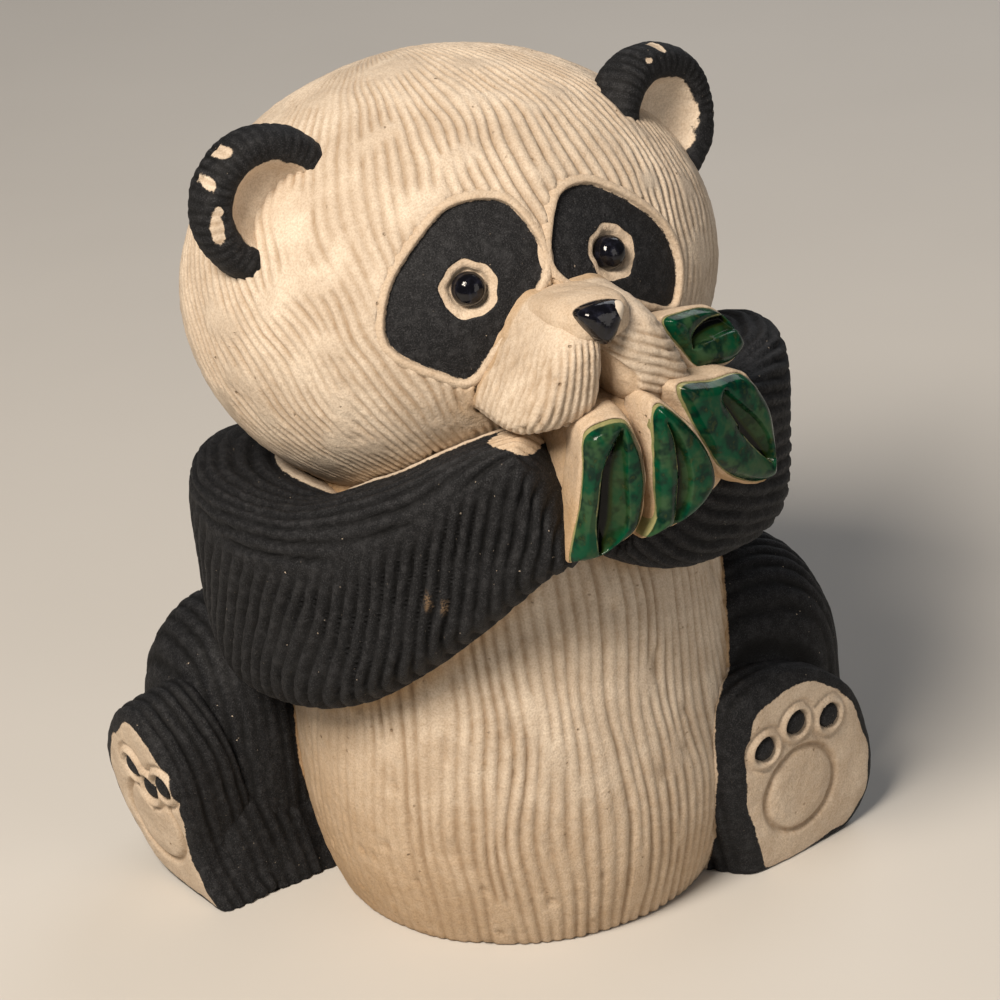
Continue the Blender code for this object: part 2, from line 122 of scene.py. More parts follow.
def spline(points, shares, closed=False):
    """A smooth curve through the points, at shares from 0 to 1 of the way along it."""
    points = np.asarray(points, float)
    count = len(points)
    at = np.asarray(shares) % 1.0 * count if closed else np.asarray(shares) * (count - 1)
    i = np.minimum(at.astype(int), count - 1 if closed else count - 2)
    t = (at - i)[..., None]
    four = [(i + k) % count if closed else np.clip(i + k, 0, count - 1) for k in (-1, 0, 1, 2)]
    a, b, c, d = (points[index] for index in four)
    return b + 0.5 * t * (c - a + t * (2 * a - 5 * b + 4 * c - d + t * (3 * (b - c) + d - a)))


def outline_distance(points, outline):
    """Distance in the plane from a closed outline, negative inside it."""
    nearest = np.full(points.shape[:-1], np.inf)
    inside = np.zeros(points.shape[:-1], bool)
    for a, b in zip(outline, np.roll(outline, -1, 0)):
        along = b - a
        share = np.clip(((points - a) @ along) / (along @ along), 0, 1)
        nearest = np.minimum(nearest, np.linalg.norm(points - a - share[..., None] * along, axis=-1))
        crosses = (a[1] > points[..., 1]) != (b[1] > points[..., 1])
        rise = along[1] if along[1] else 1e-9
        inside ^= crosses & (points[..., 0] < a[0] + (points[..., 1] - a[1]) / rise * along[0])
    return np.where(inside, -nearest, nearest)


def line_distance(points, line):
    """Distance in the plane from an open line."""
    nearest = np.full(points.shape[:-1], np.inf)
    for a, b in zip(line[:-1], line[1:]):
        share = np.clip(((points - a) @ (b - a)) / ((b - a) @ (b - a)), 0, 1)
        nearest = np.minimum(nearest, np.linalg.norm(points - a - share[..., None] * (b - a), axis=-1))
    return nearest


def squared(shares, box):
    """Cosine and sine at shares of a turn, squared up by box and spread evenly along the curve they make."""
    angle = np.linspace(0, math.tau, 2001)
    across, up = power(np.cos(angle), box), power(np.sin(angle), box)
    way = np.concatenate([[0], np.cumsum(np.hypot(np.diff(across), np.diff(up)))])
    angle = np.interp(shares, way / way[-1], angle)
    return power(np.cos(angle), box), power(np.sin(angle), box)


# Frames


def facing(centre, bearing, rise):
    """A frame at centre whose -Y looks along a bearing (degrees from -Y towards +X) and a rise."""
    turn = Matrix.Rotation(math.radians(bearing), 4, "Z") @ Matrix.Rotation(math.radians(-rise), 4, "X")
    return Matrix.Translation(Vector(centre)) @ turn


def out_of(matrix, points):
    """Points of a frame, in the figure's own space."""
    return points @ np.array(matrix.to_3x3()).T + np.array(matrix.translation)


def into(matrix, points):
    """Points of the figure's space, in a frame."""
    return out_of(matrix.inverted(), points)


HEAD = facing(HEAD_CENTRE, HEAD_TURN, 0)


def on_head(bearing, rise, lift=0.0):
    """A point on the head in its own frame, lift outside the surface along the ray."""
    b, r = math.radians(bearing), math.radians(rise)
    ray = np.array((math.sin(b) * math.cos(r), -math.cos(b) * math.cos(r), math.sin(r)))
    return ray * (1 / math.sqrt(((ray / HEAD_RADII) ** 2).sum()) + lift)


def head_distance(points):
    """How far points of the figure's space are outside the head."""
    local = into(HEAD, points)
    share = np.linalg.norm(local / HEAD_RADII, axis=-1)
    return (share - 1) * share / np.linalg.norm(local / HEAD_RADII ** 2, axis=-1)


# The torso's heights and its radius at each, from under the ground to inside the head
TORSO = np.array([(-6, 18), (-1.5, 21.4), (6, 24.2), (15, 25.6), (28, 25.4), (40, 24), (51, 21.5),
                  (60, 17.5)])


def torso_distance(points):
    """How far points are outside the torso, level with them."""
    flat = np.linalg.norm(points[..., :2] - TORSO_CENTRE[:2], axis=-1)
    return flat - np.interp(points[..., 2], TORSO[:, 0], TORSO[:, 1])


# Grids and the pieces made from them


def grid_of(columns, rows):
    """Shares round and shares down, for a grid whose first and last rows are its poles."""
    return np.meshgrid(np.arange(columns) / columns, np.linspace(0, 1, rows + 1))


def combed_columns(lines, rows):
    """Shares round and down like grid_of, with five columns for each tool mark, and each one's cut."""
    shares = (np.arange(lines)[:, None] + COMB_PHASES).ravel() / lines
    around, down = np.meshgrid(shares, np.linspace(0, 1, rows + 1))
    cut = np.broadcast_to(np.tile(COMB_CUTS, lines), around.shape)
    line = np.broadcast_to(np.repeat(np.arange(lines), len(COMB_PHASES)), around.shape)
    return around, down, cut, line


def normals(grid):
    """The grid's normals, pointing out."""
    across = np.roll(grid, -1, 1) - np.roll(grid, 1, 1)
    down = np.gradient(grid, axis=0)
    normal = np.cross(down, across)
    for pole, inner in ((0, 1), (-1, -2)):
        normal[pole] = normal[inner].mean(0)
    normal /= np.maximum(np.linalg.norm(normal, axis=-1, keepdims=True), 1e-12)
    middle = grid.reshape(-1, 3).mean(0)
    return normal * np.sign((normal * (grid - middle)).sum())


def moved(grid, amount):
    """The grid moved along its normals."""
    return grid + normals(grid) * amount[..., None]


def marks(points, phase, seed):
    """Depth from 0 to 1 of tool marks that repeat with each whole phase, wandering and uneven."""
    phase = phase + noise(points, 6.0, seed) * 0.28 + noise(points, 2.0, seed + 1) * 0.07
    wave = np.abs(phase % 1.0 - 0.5) * 2
    cut = ease(0.40, 0.90, wave)
    return cut * np.clip(0.85 + 0.45 * noise(points, 3.5, seed + 2), 0, 1)


def piece(name, grid, material, **values):
    """Makes a closed mesh from a grid in U, flat on the ground, with the grid's values on its points."""
    rows, columns = grid.shape[:2]

    def kept(array):
        return np.concatenate([array[0, :1], array[1:-1].reshape(-1, *array.shape[2:]), array[-1, :1]])

    points = kept(grid) * U
    points[:, 2] = np.maximum(points[:, 2], 0)
    ring = 1 + np.arange((rows - 2) * columns).reshape(rows - 2, columns)
    after = np.roll(ring, -1, 1)
    first, last = np.zeros(columns, int), np.full(columns, len(points) - 1)
    quads = np.stack([ring[:-1], ring[1:], after[1:], after[:-1]], -1).reshape(-1, 4)
    first_cap = np.stack([first, ring[0], after[0]], -1)
    last_cap = np.stack([ring[-1], last, after[-1]], -1)
    fans = np.concatenate([quads[:, [0, 1, 2]], quads[:, [0, 2, 3]], first_cap, last_cap])
    corners = points[fans]
    volume = np.einsum("ij,ij->i", corners[:, 0], np.cross(corners[:, 1], corners[:, 2])).sum()
    faces = quads.tolist() + first_cap.tolist() + last_cap.tolist()
    if volume < 0:
        faces = [face[::-1] for face in faces]
    mesh = bpy.data.meshes.new(name)
    mesh.from_pydata(points.tolist(), [], faces)
    for value_name, value in values.items():
        attribute = mesh.attributes.new(value_name, "FLOAT", "POINT")
        attribute.data.foreach_set("value", kept(np.broadcast_to(value, grid.shape[:2])).astype(np.float32))
    mesh.shade_smooth()
    mesh.materials.append(material)
    made = bpy.data.objects.new(name, mesh)
    bpy.context.scene.collection.objects.link(made)
    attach(made, "root")
    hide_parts(NODE)


def near(grid, others, step=3):
    """Distance from each point of a grid to the nearest of the other grids' points."""
    cloud = np.concatenate([other[::step, ::step].reshape(-1, 3) for other in others])
    tree = kdtree.KDTree(len(cloud))
    for index, point in enumerate(cloud):
        tree.insert(point, index)
    tree.balance()
    flat = grid.reshape(-1, 3)
    return np.array([tree.find(point)[2] for point in flat]).reshape(grid.shape[:2])


# Materials


def tree_of(name):
    """A new material's node tree and its Principled shader."""
    material = bpy.data.materials.new(name)
    material.use_nodes = True
    return material, material.node_tree, material.node_tree.nodes["Principled BSDF"]


def node(tree, kind, inputs=None, **settings):
    """A node with its settings and its inputs, which are constants or other nodes' outputs."""
    made = tree.nodes.new("ShaderNode" + kind)
    for key, value in settings.items():
        setattr(made, key, value)
    for key, value in (inputs or {}).items():
        if isinstance(value, bpy.types.NodeSocket):
            tree.links.new(value, made.inputs[key])
        else:
            made.inputs[key].default_value = value
    return made


def value_of(tree, name):
    """A grid value by its name."""
    return node(tree, "Attribute", attribute_name=name).outputs["Fac"]


def calc(tree, operation, a, b=0.0, c=0.0, clamp=False):
    """The result of a Math node."""
    return node(tree, "Math", {0: a, 1: b, 2: c}, operation=operation, use_clamp=clamp).outputs[0]


def speckle(tree, at, per_mm, detail=2.0, roughness=0.6):
    """Noise from 0 to 1 with this many features for each millimetre."""
    settings = {"Vector": at, "Scale": per_mm * 1000, "Detail": detail, "Roughness": roughness}
    return node(tree, "TexNoise", settings).outputs["Fac"]


def ramp(tree, value, start, end, low_value=0.0, high_value=1.0):
    """The value's range from start to end, spread smoothly over another."""
    inputs = {"Value": value, "From Min": start, "From Max": end, "To Min": low_value, "To Max": high_value}
    return node(tree, "MapRange", inputs, interpolation_type="SMOOTHSTEP").outputs["Result"]


def mix(tree, share, a, b):
    """Colour a where share is 0 and b where it is 1."""
    return node(tree, "Mix", {0: share, 6: a, 7: b}, data_type="RGBA", clamp_factor=True).outputs[2]


def bumps(tree, shader, height, metres, strength):
    """Gives the shader bumps that are this many metres deep."""
    made = node(tree, "Bump", {"Height": height, "Distance": metres, "Strength": strength})
    tree.links.new(made.outputs["Normal"], shader.inputs["Normal"])


# Colours of the clay, its slip and its glazes, and of the stage
CREAM = (0.58, 0.485, 0.385, 1)
CREAM_PALE = (0.72, 0.62, 0.505, 1)
OCHRE = (0.47, 0.30, 0.15, 1)
# Dust and painted shade for the tool marks, also the colour of pits and scuffs
DUST_AND_SHADE = (0.26, 0.17, 0.095, 1)
# Painted shadow for the creases by the head
CREASE_SHADOW = (0.040, 0.024, 0.013, 1)
SLIP = (0.0065, 0.0070, 0.0085, 1)
# Painted shade for the slip in the tool marks
SLIP_GROOVE_SHADE = (0.0012, 0.0013, 0.0016, 1)
SLIP_WORN = (0.052, 0.053, 0.058, 1)
GLAZE_GREEN = (0.001, 0.050, 0.022, 1)
GLAZE_PALE = (0.026, 0.066, 0.028, 1)
GLAZE_DEEP = (0.001, 0.014, 0.010, 1)
GLAZE_YELLOW = (0.060, 0.070, 0.012, 1)
GLAZE_OLIVE = (0.014, 0.022, 0.001, 1)
GLAZE_POOL = (0.001, 0.002, 0.002, 1)
GLAZE_THIN = (0.27, 0.26, 0.12, 1)
BEAD_BLACK = (0.003, 0.003, 0.005, 1)
BEAD_BLUE = (0.012, 0.013, 0.022, 1)
FLOOR_DARK = (0.56, 0.54, 0.51, 1)
FLOOR_PALE = (0.60, 0.58, 0.55, 1)
SKY = (0.75, 0.75, 0.77, 1)


def clay_material():
    """Bare clay and black slip. slip is how far a point is inside the slip's edge, in U."""
    material, tree, shader = tree_of("carved_clay")
    at = node(tree, "TexCoord").outputs["Object"]
    slip, cut, warm, wear = (value_of(tree, name) for name in ("slip", "cut", "warm", "wear"))
    coarse = speckle(tree, at, 0.16, 3)
    medium = speckle(tree, at, 0.9, 4)
    fine = speckle(tree, at, 4.5, 3)
    ragged = calc(tree, "MULTIPLY_ADD", speckle(tree, at, 1.3, 5, 0.7), 0.6, -0.3)
    covered = ramp(tree, calc(tree, "ADD", slip, ragged), -0.05, 0.07)

    # Bare clay: cream, warmer where it was handled and in the creases, where the warmth is painted shade,
    # darker in the tool marks with dust and painted shade, and with fine dark pits
    shade = mix(tree, ramp(tree, coarse, 0.35, 0.7), CREAM, CREAM_PALE)
    warmth_and_shade = calc(tree, "ADD", warm, calc(tree, "MULTIPLY_ADD", medium, 0.5, -0.25), clamp=True)
    shade = mix(tree, calc(tree, "MULTIPLY", warmth_and_shade, 0.85), shade, OCHRE)
    # Painted shade and dust: the deeper the tool mark, the darker and browner the bare clay
    groove_dust_and_shade = calc(tree, "MULTIPLY", cut, calc(tree, "MULTIPLY_ADD", medium, 0.8, 0.15))
    shade = mix(tree, groove_dust_and_shade, shade, DUST_AND_SHADE)
    pits = node(tree, "TexVoronoi", {"Vector": at, "Scale": 620.0, "Randomness": 1.0}).outputs["Distance"]
    pits = calc(tree, "MULTIPLY", ramp(tree, pits, 0.16, 0.05), ramp(tree, medium, 0.54, 0.66))
    shade = mix(tree, calc(tree, "MULTIPLY", pits, 0.7), shade, DUST_AND_SHADE)
    shade = mix(tree, ramp(tree, fine, 0.35, 0.7, 0.0, 0.35), shade, DUST_AND_SHADE)
    # Painted shadow: near black where cut is above 1, in the creases by the head
    shade = mix(tree, ramp(tree, cut, 1.1, 1.9), shade, CREASE_SHADOW)

    # Slip: charcoal, lighter where it is rubbed, darker in the tool marks as painted shade, with pale specks
    # and brown scuffs
    grit = speckle(tree, at, 7.0, 2, 0.7)
    black = mix(tree, ramp(tree, grit, 0.48, 0.72, 0.0, 0.75), SLIP, SLIP_WORN)
    black = mix(tree, calc(tree, "MULTIPLY", ramp(tree, medium, 0.45, 0.7), 0.3), black, SLIP_WORN)
    # Painted shade: the slip is darker in the tool marks
    black = mix(tree, calc(tree, "MULTIPLY", cut, 0.9, clamp=True), black, SLIP_GROOVE_SHADE)
    specks = ramp(tree, speckle(tree, at, 2.2, 1), 0.775, 0.79)
    scuffs = calc(tree, "MULTIPLY", wear, ramp(tree, speckle(tree, at, 2.6, 4, 0.75), 0.44, 0.56))
    specks = calc(tree, "MULTIPLY", specks, ramp(tree, coarse, 0.42, 0.6))
    black = mix(tree, calc(tree, "MULTIPLY", specks, 0.8), black, CREAM)
    black = mix(tree, calc(tree, "MULTIPLY", scuffs, 0.6), black, DUST_AND_SHADE)
    tree.links.new(mix(tree, covered, shade, black), shader.inputs["Base Color"])

    rough = calc(tree, "MULTIPLY_ADD", fine, 0.2, 0.70)
    tree.links.new(calc(tree, "MULTIPLY_ADD", covered, -0.10, rough), shader.inputs["Roughness"])
    shader.inputs["Specular IOR Level"].default_value = 0.2
    height = calc(tree, "MULTIPLY_ADD", medium, 0.8, calc(tree, "MULTIPLY", fine, 0.35))
    height = calc(tree, "MULTIPLY_ADD", pits, -0.9, height)
    height = calc(tree, "MULTIPLY_ADD", covered, 0.35, height)
    bumps(tree, shader, height, 0.00022, 1.0)
    return material


def glaze_material():
    """Glossy green glaze: pale where it runs thin over an edge, nearly black where it pools."""
    material, tree, shader = tree_of("green_glaze")
    at = node(tree, "TexCoord").outputs["Object"]
    thin, pool = (value_of(tree, name) for name in ("thin", "pool"))
    broad = speckle(tree, at, 0.30, 3)
    medium = speckle(tree, at, 1.1, 4)
    shade = mix(tree, ramp(tree, broad, 0.42, 0.58), GLAZE_GREEN, GLAZE_PALE)
    deep = speckle(tree, at, 0.55, 2)
    shade = mix(tree, ramp(tree, deep, 0.42, 0.62, 0.0, 0.9), shade, GLAZE_DEEP)
    shade = mix(tree, ramp(tree, medium, 0.56, 0.70, 0.0, 0.35), shade, GLAZE_YELLOW)
    # Where it pools it goes from olive to black
    shade = mix(tree, ramp(tree, pool, 0.05, 0.35, 0.0, 0.85), shade, GLAZE_OLIVE)
    shade = mix(tree, ramp(tree, pool, 0.35, 0.75), shade, GLAZE_POOL)
    rim = ramp(tree, calc(tree, "MULTIPLY_ADD", medium, 0.9, calc(tree, "SUBTRACT", thin, 0.45)), 0.35, 0.95)
    shade = mix(tree, rim, shade, GLAZE_THIN)
    tree.links.new(shade, shader.inputs["Base Color"])
    tree.links.new(ramp(tree, medium, 0.3, 0.8, 0.08, 0.30), shader.inputs["Roughness"])
    shader.inputs["Specular IOR Level"].default_value = 0.17
    bumps(tree, shader, calc(tree, "MULTIPLY_ADD", medium, 0.5, broad), 0.00012, 0.5)
    return material


def bead_material():
    """Glossy black glaze on the eyes and the nose, chipped to the clay where chip is above 0."""
    material, tree, shader = tree_of("black_glaze")
    at = node(tree, "TexCoord").outputs["Object"]
    medium = speckle(tree, at, 1.4, 3)
    shade = mix(tree, ramp(tree, medium, 0.45, 0.75), BEAD_BLACK, BEAD_BLUE)
    ragged = calc(tree, "MULTIPLY_ADD", medium, 0.5, -0.25)
    bare = ramp(tree, calc(tree, "ADD", ragged, value_of(tree, "chip")), 0.46, 0.5)
    tree.links.new(mix(tree, bare, shade, CREAM_PALE), shader.inputs["Base Color"])
    tree.links.new(calc(tree, "MULTIPLY_ADD", bare, 0.7, 0.07), shader.inputs["Roughness"])
    shader.inputs["Specular IOR Level"].default_value = 0.4
    bumps(tree, shader, medium, 0.00012, 0.35)
    return material


CLAY = clay_material()
GREEN = glaze_material()
BEAD = bead_material()
# Values of slip for a form, or a part of one, that is all bare clay or all covered
BARE, FULL = -9.0, 9.0


# The eye patches' outlines, as bearings and rises in degrees on the head, and the eyes' place on it
EYE_PATCHES = {
    -1: [(-12, 37), (-5, 34), (-1, 25), (-2, 18), (-8, 12), (-16, 4), (-21.5, -2), (-28, 0.5), (-36, 5),
         (-38.5, 10), (-37, 19), (-32, 27), (-23, 35.5)],
    1: [(20, 34), (27, 29.5), (33, 23), (37, 16), (37.5, 8), (34, 0.5), (27, 3), (17, 9), (7, 14),
        (2.5, 19.5), (4.5, 26), (11, 33.5)],
}
EYE_BEARING, EYE_RISE = 19.5, 17.5
SOCKET_RADIUS, BEAD_RADIUS = 3.1, 1.88
PATCH_FLOOR = -0.75
# How far round a patch the skull is cut away under it, and how deep
BED_REACH, BED_DEPTH = 0.75, 2.4


def eye_frame(side):
    """A frame on the head's surface at an eye, whose -Y looks straight out of it."""
    centre = Vector(on_head(side * EYE_BEARING, EYE_RISE))
    return HEAD @ facing(centre, side * EYE_BEARING, EYE_RISE)


def patch_outline(side, count):
    """A patch's outline in the eye's frame, as points of x and z."""
    ends = np.array([on_head(*point) for point in EYE_PATCHES[side]])
    flat = into(eye_frame(side), out_of(HEAD, ends))[:, [0, 2]]
    return spline(flat, np.arange(count) / count, closed=True)


def onto_head(frame_of, x, z, lift):
    """Points of a frame's x and z, set on the head's surface along the frame's Y and lifted out by lift."""
    local = np.stack([x, np.zeros_like(x), z], -1)
    start = into(HEAD, out_of(frame_of, local)) / HEAD_RADII
    way = np.array(HEAD.to_3x3().inverted() @ frame_of.to_3x3() @ Vector((0, 1, 0))) / HEAD_RADII
    half = start @ way / (way @ way)
    rest = ((start ** 2).sum(-1) - 1) / (way @ way)
    reach = -half - np.sqrt(np.maximum(half ** 2 - rest, 0))
    return out_of(frame_of, np.stack([x, reach - lift, z], -1))


# Forms


def head_grid():
    """The skull, combed in meridians from under the chin to the back of the crown."""
    around, down, cut, line = combed_columns(HEAD_LINES, HEAD_ROWS)
    lean = np.array(Matrix.Rotation(math.radians(-34), 3, "X"))

    def skull(around):
        a, p = around * math.tau, down * math.pi
        unit = np.stack([np.cos(a) * np.sin(p), np.sin(a) * np.sin(p), np.cos(p)], -1) @ lean.T
        return unit * HEAD_RADII

    plain = skull(around)
    drift = noise(plain, 12.0, 1) * 1.3 + noise(plain, 4.0, 2) * 0.35
    surface = skull(around + drift / HEAD_LINES)
    out = surface / HEAD_RADII ** 2
    out /= np.linalg.norm(out, axis=-1, keepdims=True)
    fade = np.sin(down * math.pi) ** 0.8
    broken = ease(-0.55, 0.1, noise(surface, 3.2, 3))
    each = 0.65 + 0.7 * lattice(np.stack([line, line * 0, line * 0], -1), 4)
    depth = COMB_DEPTH["head"] * fade * broken * each * (0.8 + 0.35 * noise(surface, 8.0, 5))
    burr = 0.05 * noise(surface, 0.9, 6) + 0.05 * noise(surface, 0.45, 7)
    lumps = 0.12 * noise(surface, 7.0, 8)
    height = lumps + burr - cut * depth
    for side in (-1, 1):
        flat = into(eye_frame(side), out_of(HEAD, surface))
        outline = patch_outline(side, 60)
        within = outline_distance(flat[..., [0, 2]], outline)
        within = np.where(flat[..., 1] < 12, within, 9.0)
        height = np.where(within < BED_REACH, -BED_DEPTH, height)
    carved = surface + out * height[..., None]
    return out_of(HEAD, carved), cut * np.clip(depth / DUST_AND_SHADE_DEPTH, 0, 1)


def patch_grid(side):
    """A sunk patch of slip in a smooth rim of clay, with the eye's round socket in it."""
    columns = 256
    outline = patch_outline(side, columns)
    angle = np.arctan2(outline[:, 1], outline[:, 0])
    edge = np.roll(outline, -1, 0) - np.roll(outline, 1, 0)
    edge /= np.linalg.norm(edge, axis=-1, keepdims=True)
    beyond = np.stack([edge[:, 1], -edge[:, 0]], -1)
    beyond *= np.sign((beyond * outline).sum())
    wobble = 1 + 0.035 * np.sin(angle * 5 + side) + 0.02 * np.sin(angle * 9)
    ring = np.stack([np.cos(angle), np.sin(angle)], -1) * wobble[:, None]
    rows, lifts, slips = [], [], []

    def row(points, lift, slip):
        rows.append(points)
        lifts.append(np.full(columns, lift))
        slips.append(np.broadcast_to(slip, columns))

    bowl = [(0.0, -1.9), (0.7, -1.9), (1.4, -1.9), (1.9, -1.85), (2.05, -1.75), (2.2, -1.35), (2.35, -1.15),
            (2.55, -1.02), (2.8, -0.93), (3.0, -0.90), (3.1, -0.86), (3.2, PATCH_FLOOR - 0.02)]
    for radius, lift in bowl:
        row(ring * radius, lift, radius - SOCKET_RADIUS)
    steps = 34
    for step in range(1, steps + 1):
        share = step / steps
        points = ring * bowl[-1][0] * (1 - share) + outline * share
        from_socket = np.linalg.norm(points, axis=-1) - SOCKET_RADIUS
        row(points, PATCH_FLOOR, np.minimum(from_socket, np.linalg.norm(points - outline, axis=-1)))
    rim = [(0.05, -0.70), (0.12, -0.5), (0.2, -0.22), (0.3, -0.05), (0.42, 0.04), (0.6, 0.08), (0.8, 0.06),
           (0.95, 0.0), (1.08, -0.12), (1.2, -0.4), (1.3, -0.8), (1.4, -1.6)]
    for reach, lift in rim:
        row(outline + beyond * reach, lift, 0.06 - reach)
    row(outline * 0, -3.2, BARE)
    points = np.stack(rows)
    lift = np.stack(lifts)
    placed = onto_head(eye_frame(side), points[..., 0], points[..., 1], lift)
    rough = 0.035 * noise(placed, 0.6, 21) + 0.05 * noise(placed, 1.7, 22) + 0.04 * noise(placed, 4.0, 23)
    rough[-1] = 0
    frame_of = eye_frame(side)
    straight_out = -np.array(frame_of.to_3x3() @ Vector((0, 1, 0)))
    return placed + straight_out * rough[..., None], np.stack(slips) * 2.2


def dome(name, frame_of, radius, height, material, **values):
    """A glazed bead: a dome over a short foot that is sunk in its bed."""
    around, down = grid_of(32, 18)
    a, p = around * math.tau, down * math.pi
    reach = np.sin(p) ** 0.85 * radius
    local = np.stack([np.cos(a) * reach, -np.cos(p) * height, np.sin(a) * reach], -1)
    grid = out_of(frame_of, local)
    grid = moved(grid, 0.03 * noise(grid, 0.9, 31))
    piece(name, grid, material, **values)


# The muzzle's puffs in the head's frame: half their depth and height, and their middle's Y and Z. Each side
# has its inner edge, its outer edge and how fast the outer edge runs in with height
PUFF_DEEP, PUFF_HIGH, PUFF_SQUARENESS = 10.7, 6.2, 3.5
PUFF_Y, PUFF_Z = -27.5, 0.8
PUFF_SIDES = {-1: (-1.2, 7.9, 0.62), 1: (0.3, 10.0, 0.50)}
# The smooth hollow beside the mouth: where it ends, its depth and its warmth, which is ochre with painted
# shade
HOLLOW, HOLLOW_DEPTH, HOLLOW_SHADE = 3.5, 0.5, 0.6


def puff_grid(side):
    """Half of the muzzle: a boxy lobe whose outer side slopes from the bridge out to the cheek."""
    around, down = grid_of(150, 100)
    box = 2 / PUFF_SQUARENESS
    across, deep = squared(around, box)
    up, full = squared(down / 2, box)
    z = up * PUFF_HIGH
    inner, outer, slope = PUFF_SIDES[side]
    inner = inner + 0.10 * np.maximum(0, 4 - z)
    width = outer - slope * z - inner
    x = inner + width / 2 * (1 + across * full)
    local = np.stack([side * x, PUFF_Y + deep * full * PUFF_DEEP, z + PUFF_Z], -1)
    out = normals(local)
    # The left half shows its hollow, smooth inner facet beside the mouth, painted warmer as ochre with
    # painted shade
    hollow = ease(0.3, -0.3, local[..., 0] + local[..., 2] - HOLLOW) * (local[..., 1] < -30) * (side > 0)
    hollow = hollow * ease(HOLLOW + 0.4, HOLLOW - 0.2, local[..., 0])
    if side < 0:
        back = np.maximum(0, local[..., 1] + 36.5)
        fan = np.arctan2(local[..., 0] - 1.5, 24 - local[..., 2]) * 26
        phase = (fan - 0.8 * back) / COMB_PITCH["puff"]
    else:
        phase = (local[..., 0] * 0.45 + local[..., 2] * 0.9) / COMB_PITCH["left_puff"]
    cut = marks(local, phase, 40 + side)
    facing_out = np.maximum(-out[..., 1], 0.9 * side * out[..., 0])
    front = ease(0.1, 0.4, facing_out) * ease(0.75, 0.45, out[..., 2]) * ease(-4.9, -4.3, local[..., 2])
    cut = cut * front * (1 - hollow)
    pits = ease(0.55, 0.8, noise(local * [1, 1, 0.6], 1.1, 46)) * front * (1 - hollow)
    burr = 0.07 * noise(local, 0.8, 44) + 0.10 * noise(local * [1, 1, 0.4], 0.6, 47) * cut
    height = burr + 0.1 * noise(local, 3.5, 45) - COMB_DEPTH["puff"] * (cut + pits) - HOLLOW_DEPTH * hollow
    return out_of(HEAD, local + out * height[..., None]), np.maximum(cut, pits), HOLLOW_SHADE * hollow


def lobe_grid(frame_of, radii, squareness, columns, rows):
    """A rounded block, boxier the larger its squareness is."""
    around, down = grid_of(columns, rows)
    across, deep = squared(around, 2 / squareness)
    up, full = squared(down / 2, 2 / squareness)
    return out_of(frame_of, np.stack([across * full, deep * full, up], -1) * np.array(radii))


def pillow_grid(outline, depth, edge, columns, fronts, sides, backs, slant=0.0, swell=0.0, grow=0.0):
    """A cushion-edged plate in its own frame, its front on the plane: the grid and its outline."""
    loop = spline(outline, np.arange(columns) / columns, closed=True)
    middle = np.array(outline, float).mean(0)
    ray = loop - middle
    turn = np.linspace(0, math.pi, 4001)
    reach = np.sin(turn) ** (2 / edge)
    y = depth / 2 * (1 - power(np.cos(turn), 2 / edge))
    steps = np.hypot(np.diff(reach) * np.linalg.norm(ray, axis=-1).mean(), np.diff(y))
    way = np.concatenate([[0], np.cumsum(steps)])
    stops = np.interp([0, 0.34 * math.pi, 0.66 * math.pi, math.pi], turn, way)
    counts = (fronts, sides, backs)
    ways = [np.linspace(stops[i], stops[i + 1], count, endpoint=False) for i, count in enumerate(counts)]
    turn_at = np.interp(np.concatenate(ways + [way[-1:]]), way, turn)[:, None]
    reach = np.sin(turn_at) ** (2 / edge)
    y = depth / 2 * (1 - power(np.cos(turn_at), 2 / edge))
    stretch = 1 + grow / np.linalg.norm(ray, axis=-1) + swell * np.sin(turn_at)
    x = middle[0] + ray[:, 0] * stretch * reach + y * slant
    z = middle[1] + ray[:, 1] * stretch * reach
    return np.stack([x, np.broadcast_to(y, x.shape), z], -1), loop


def torso_grid():
    """A full, round-bottomed body, combed from the neck to the ground."""
    around, down, cut, line = combed_columns(TORSO_LINES, TORSO_ROWS)
    shares = np.clip((down * TORSO_ROWS - 1) / (TORSO_ROWS - 2), 0, 1)
    height, radius = np.moveaxis(spline(TORSO, 1 - shares), -1, 0)
    radius = radius * ((down > 0) & (down < 1))

    def barrel(around):
        a = around * math.tau
        return TORSO_CENTRE + np.stack([np.cos(a) * radius, np.sin(a) * radius, height], -1)

    plain = barrel(around)
    drift = noise(plain, 14.0, 51) * 1.0 + noise(plain * [1, 1, 0.5], 4.0, 52) * 0.4
    surface = barrel(around + drift / TORSO_LINES)
    broken = ease(-0.75, -0.1, noise(surface * [1, 1, 0.5], 2.6, 53))
    each = 0.6 + 0.8 * lattice(np.stack([line, line * 0, line * 0], -1), 54)
    smooth_side = ease(-17, -11, surface[..., 0] + 0.25 * (surface[..., 2] - 20))
    deepest = COMB_DEPTH["torso"]
    depth = deepest * broken * each * (0.35 + 0.65 * smooth_side) * (0.8 + 0.3 * noise(surface, 8.0, 55))
    dents = ease(0.62, 0.82, noise(surface * [1, 1, 0.7], 1.5, 56)) * 0.30
    height = 0.06 * noise(surface, 0.9, 57) + 0.10 * noise(surface, 5.0, 58) - cut * depth - dents
    # Tool marks and dents are painted darker in the material, as dust and painted shade
    return moved(surface, height), np.clip(cut * depth / deepest + dents, 0, 1)


def sleeve(ridge):
    """A sleeve's section: away from the body and up, as shares of its half thickness and half height."""
    return [(1.03, ridge - 0.14), (1.04, -0.2), (0.9, -0.72), (0.25, -1.0), (-0.8, -0.85), (-1, 0.0),
            (-0.9, 0.86), (0.1, 0.84), (0.95, ridge)]


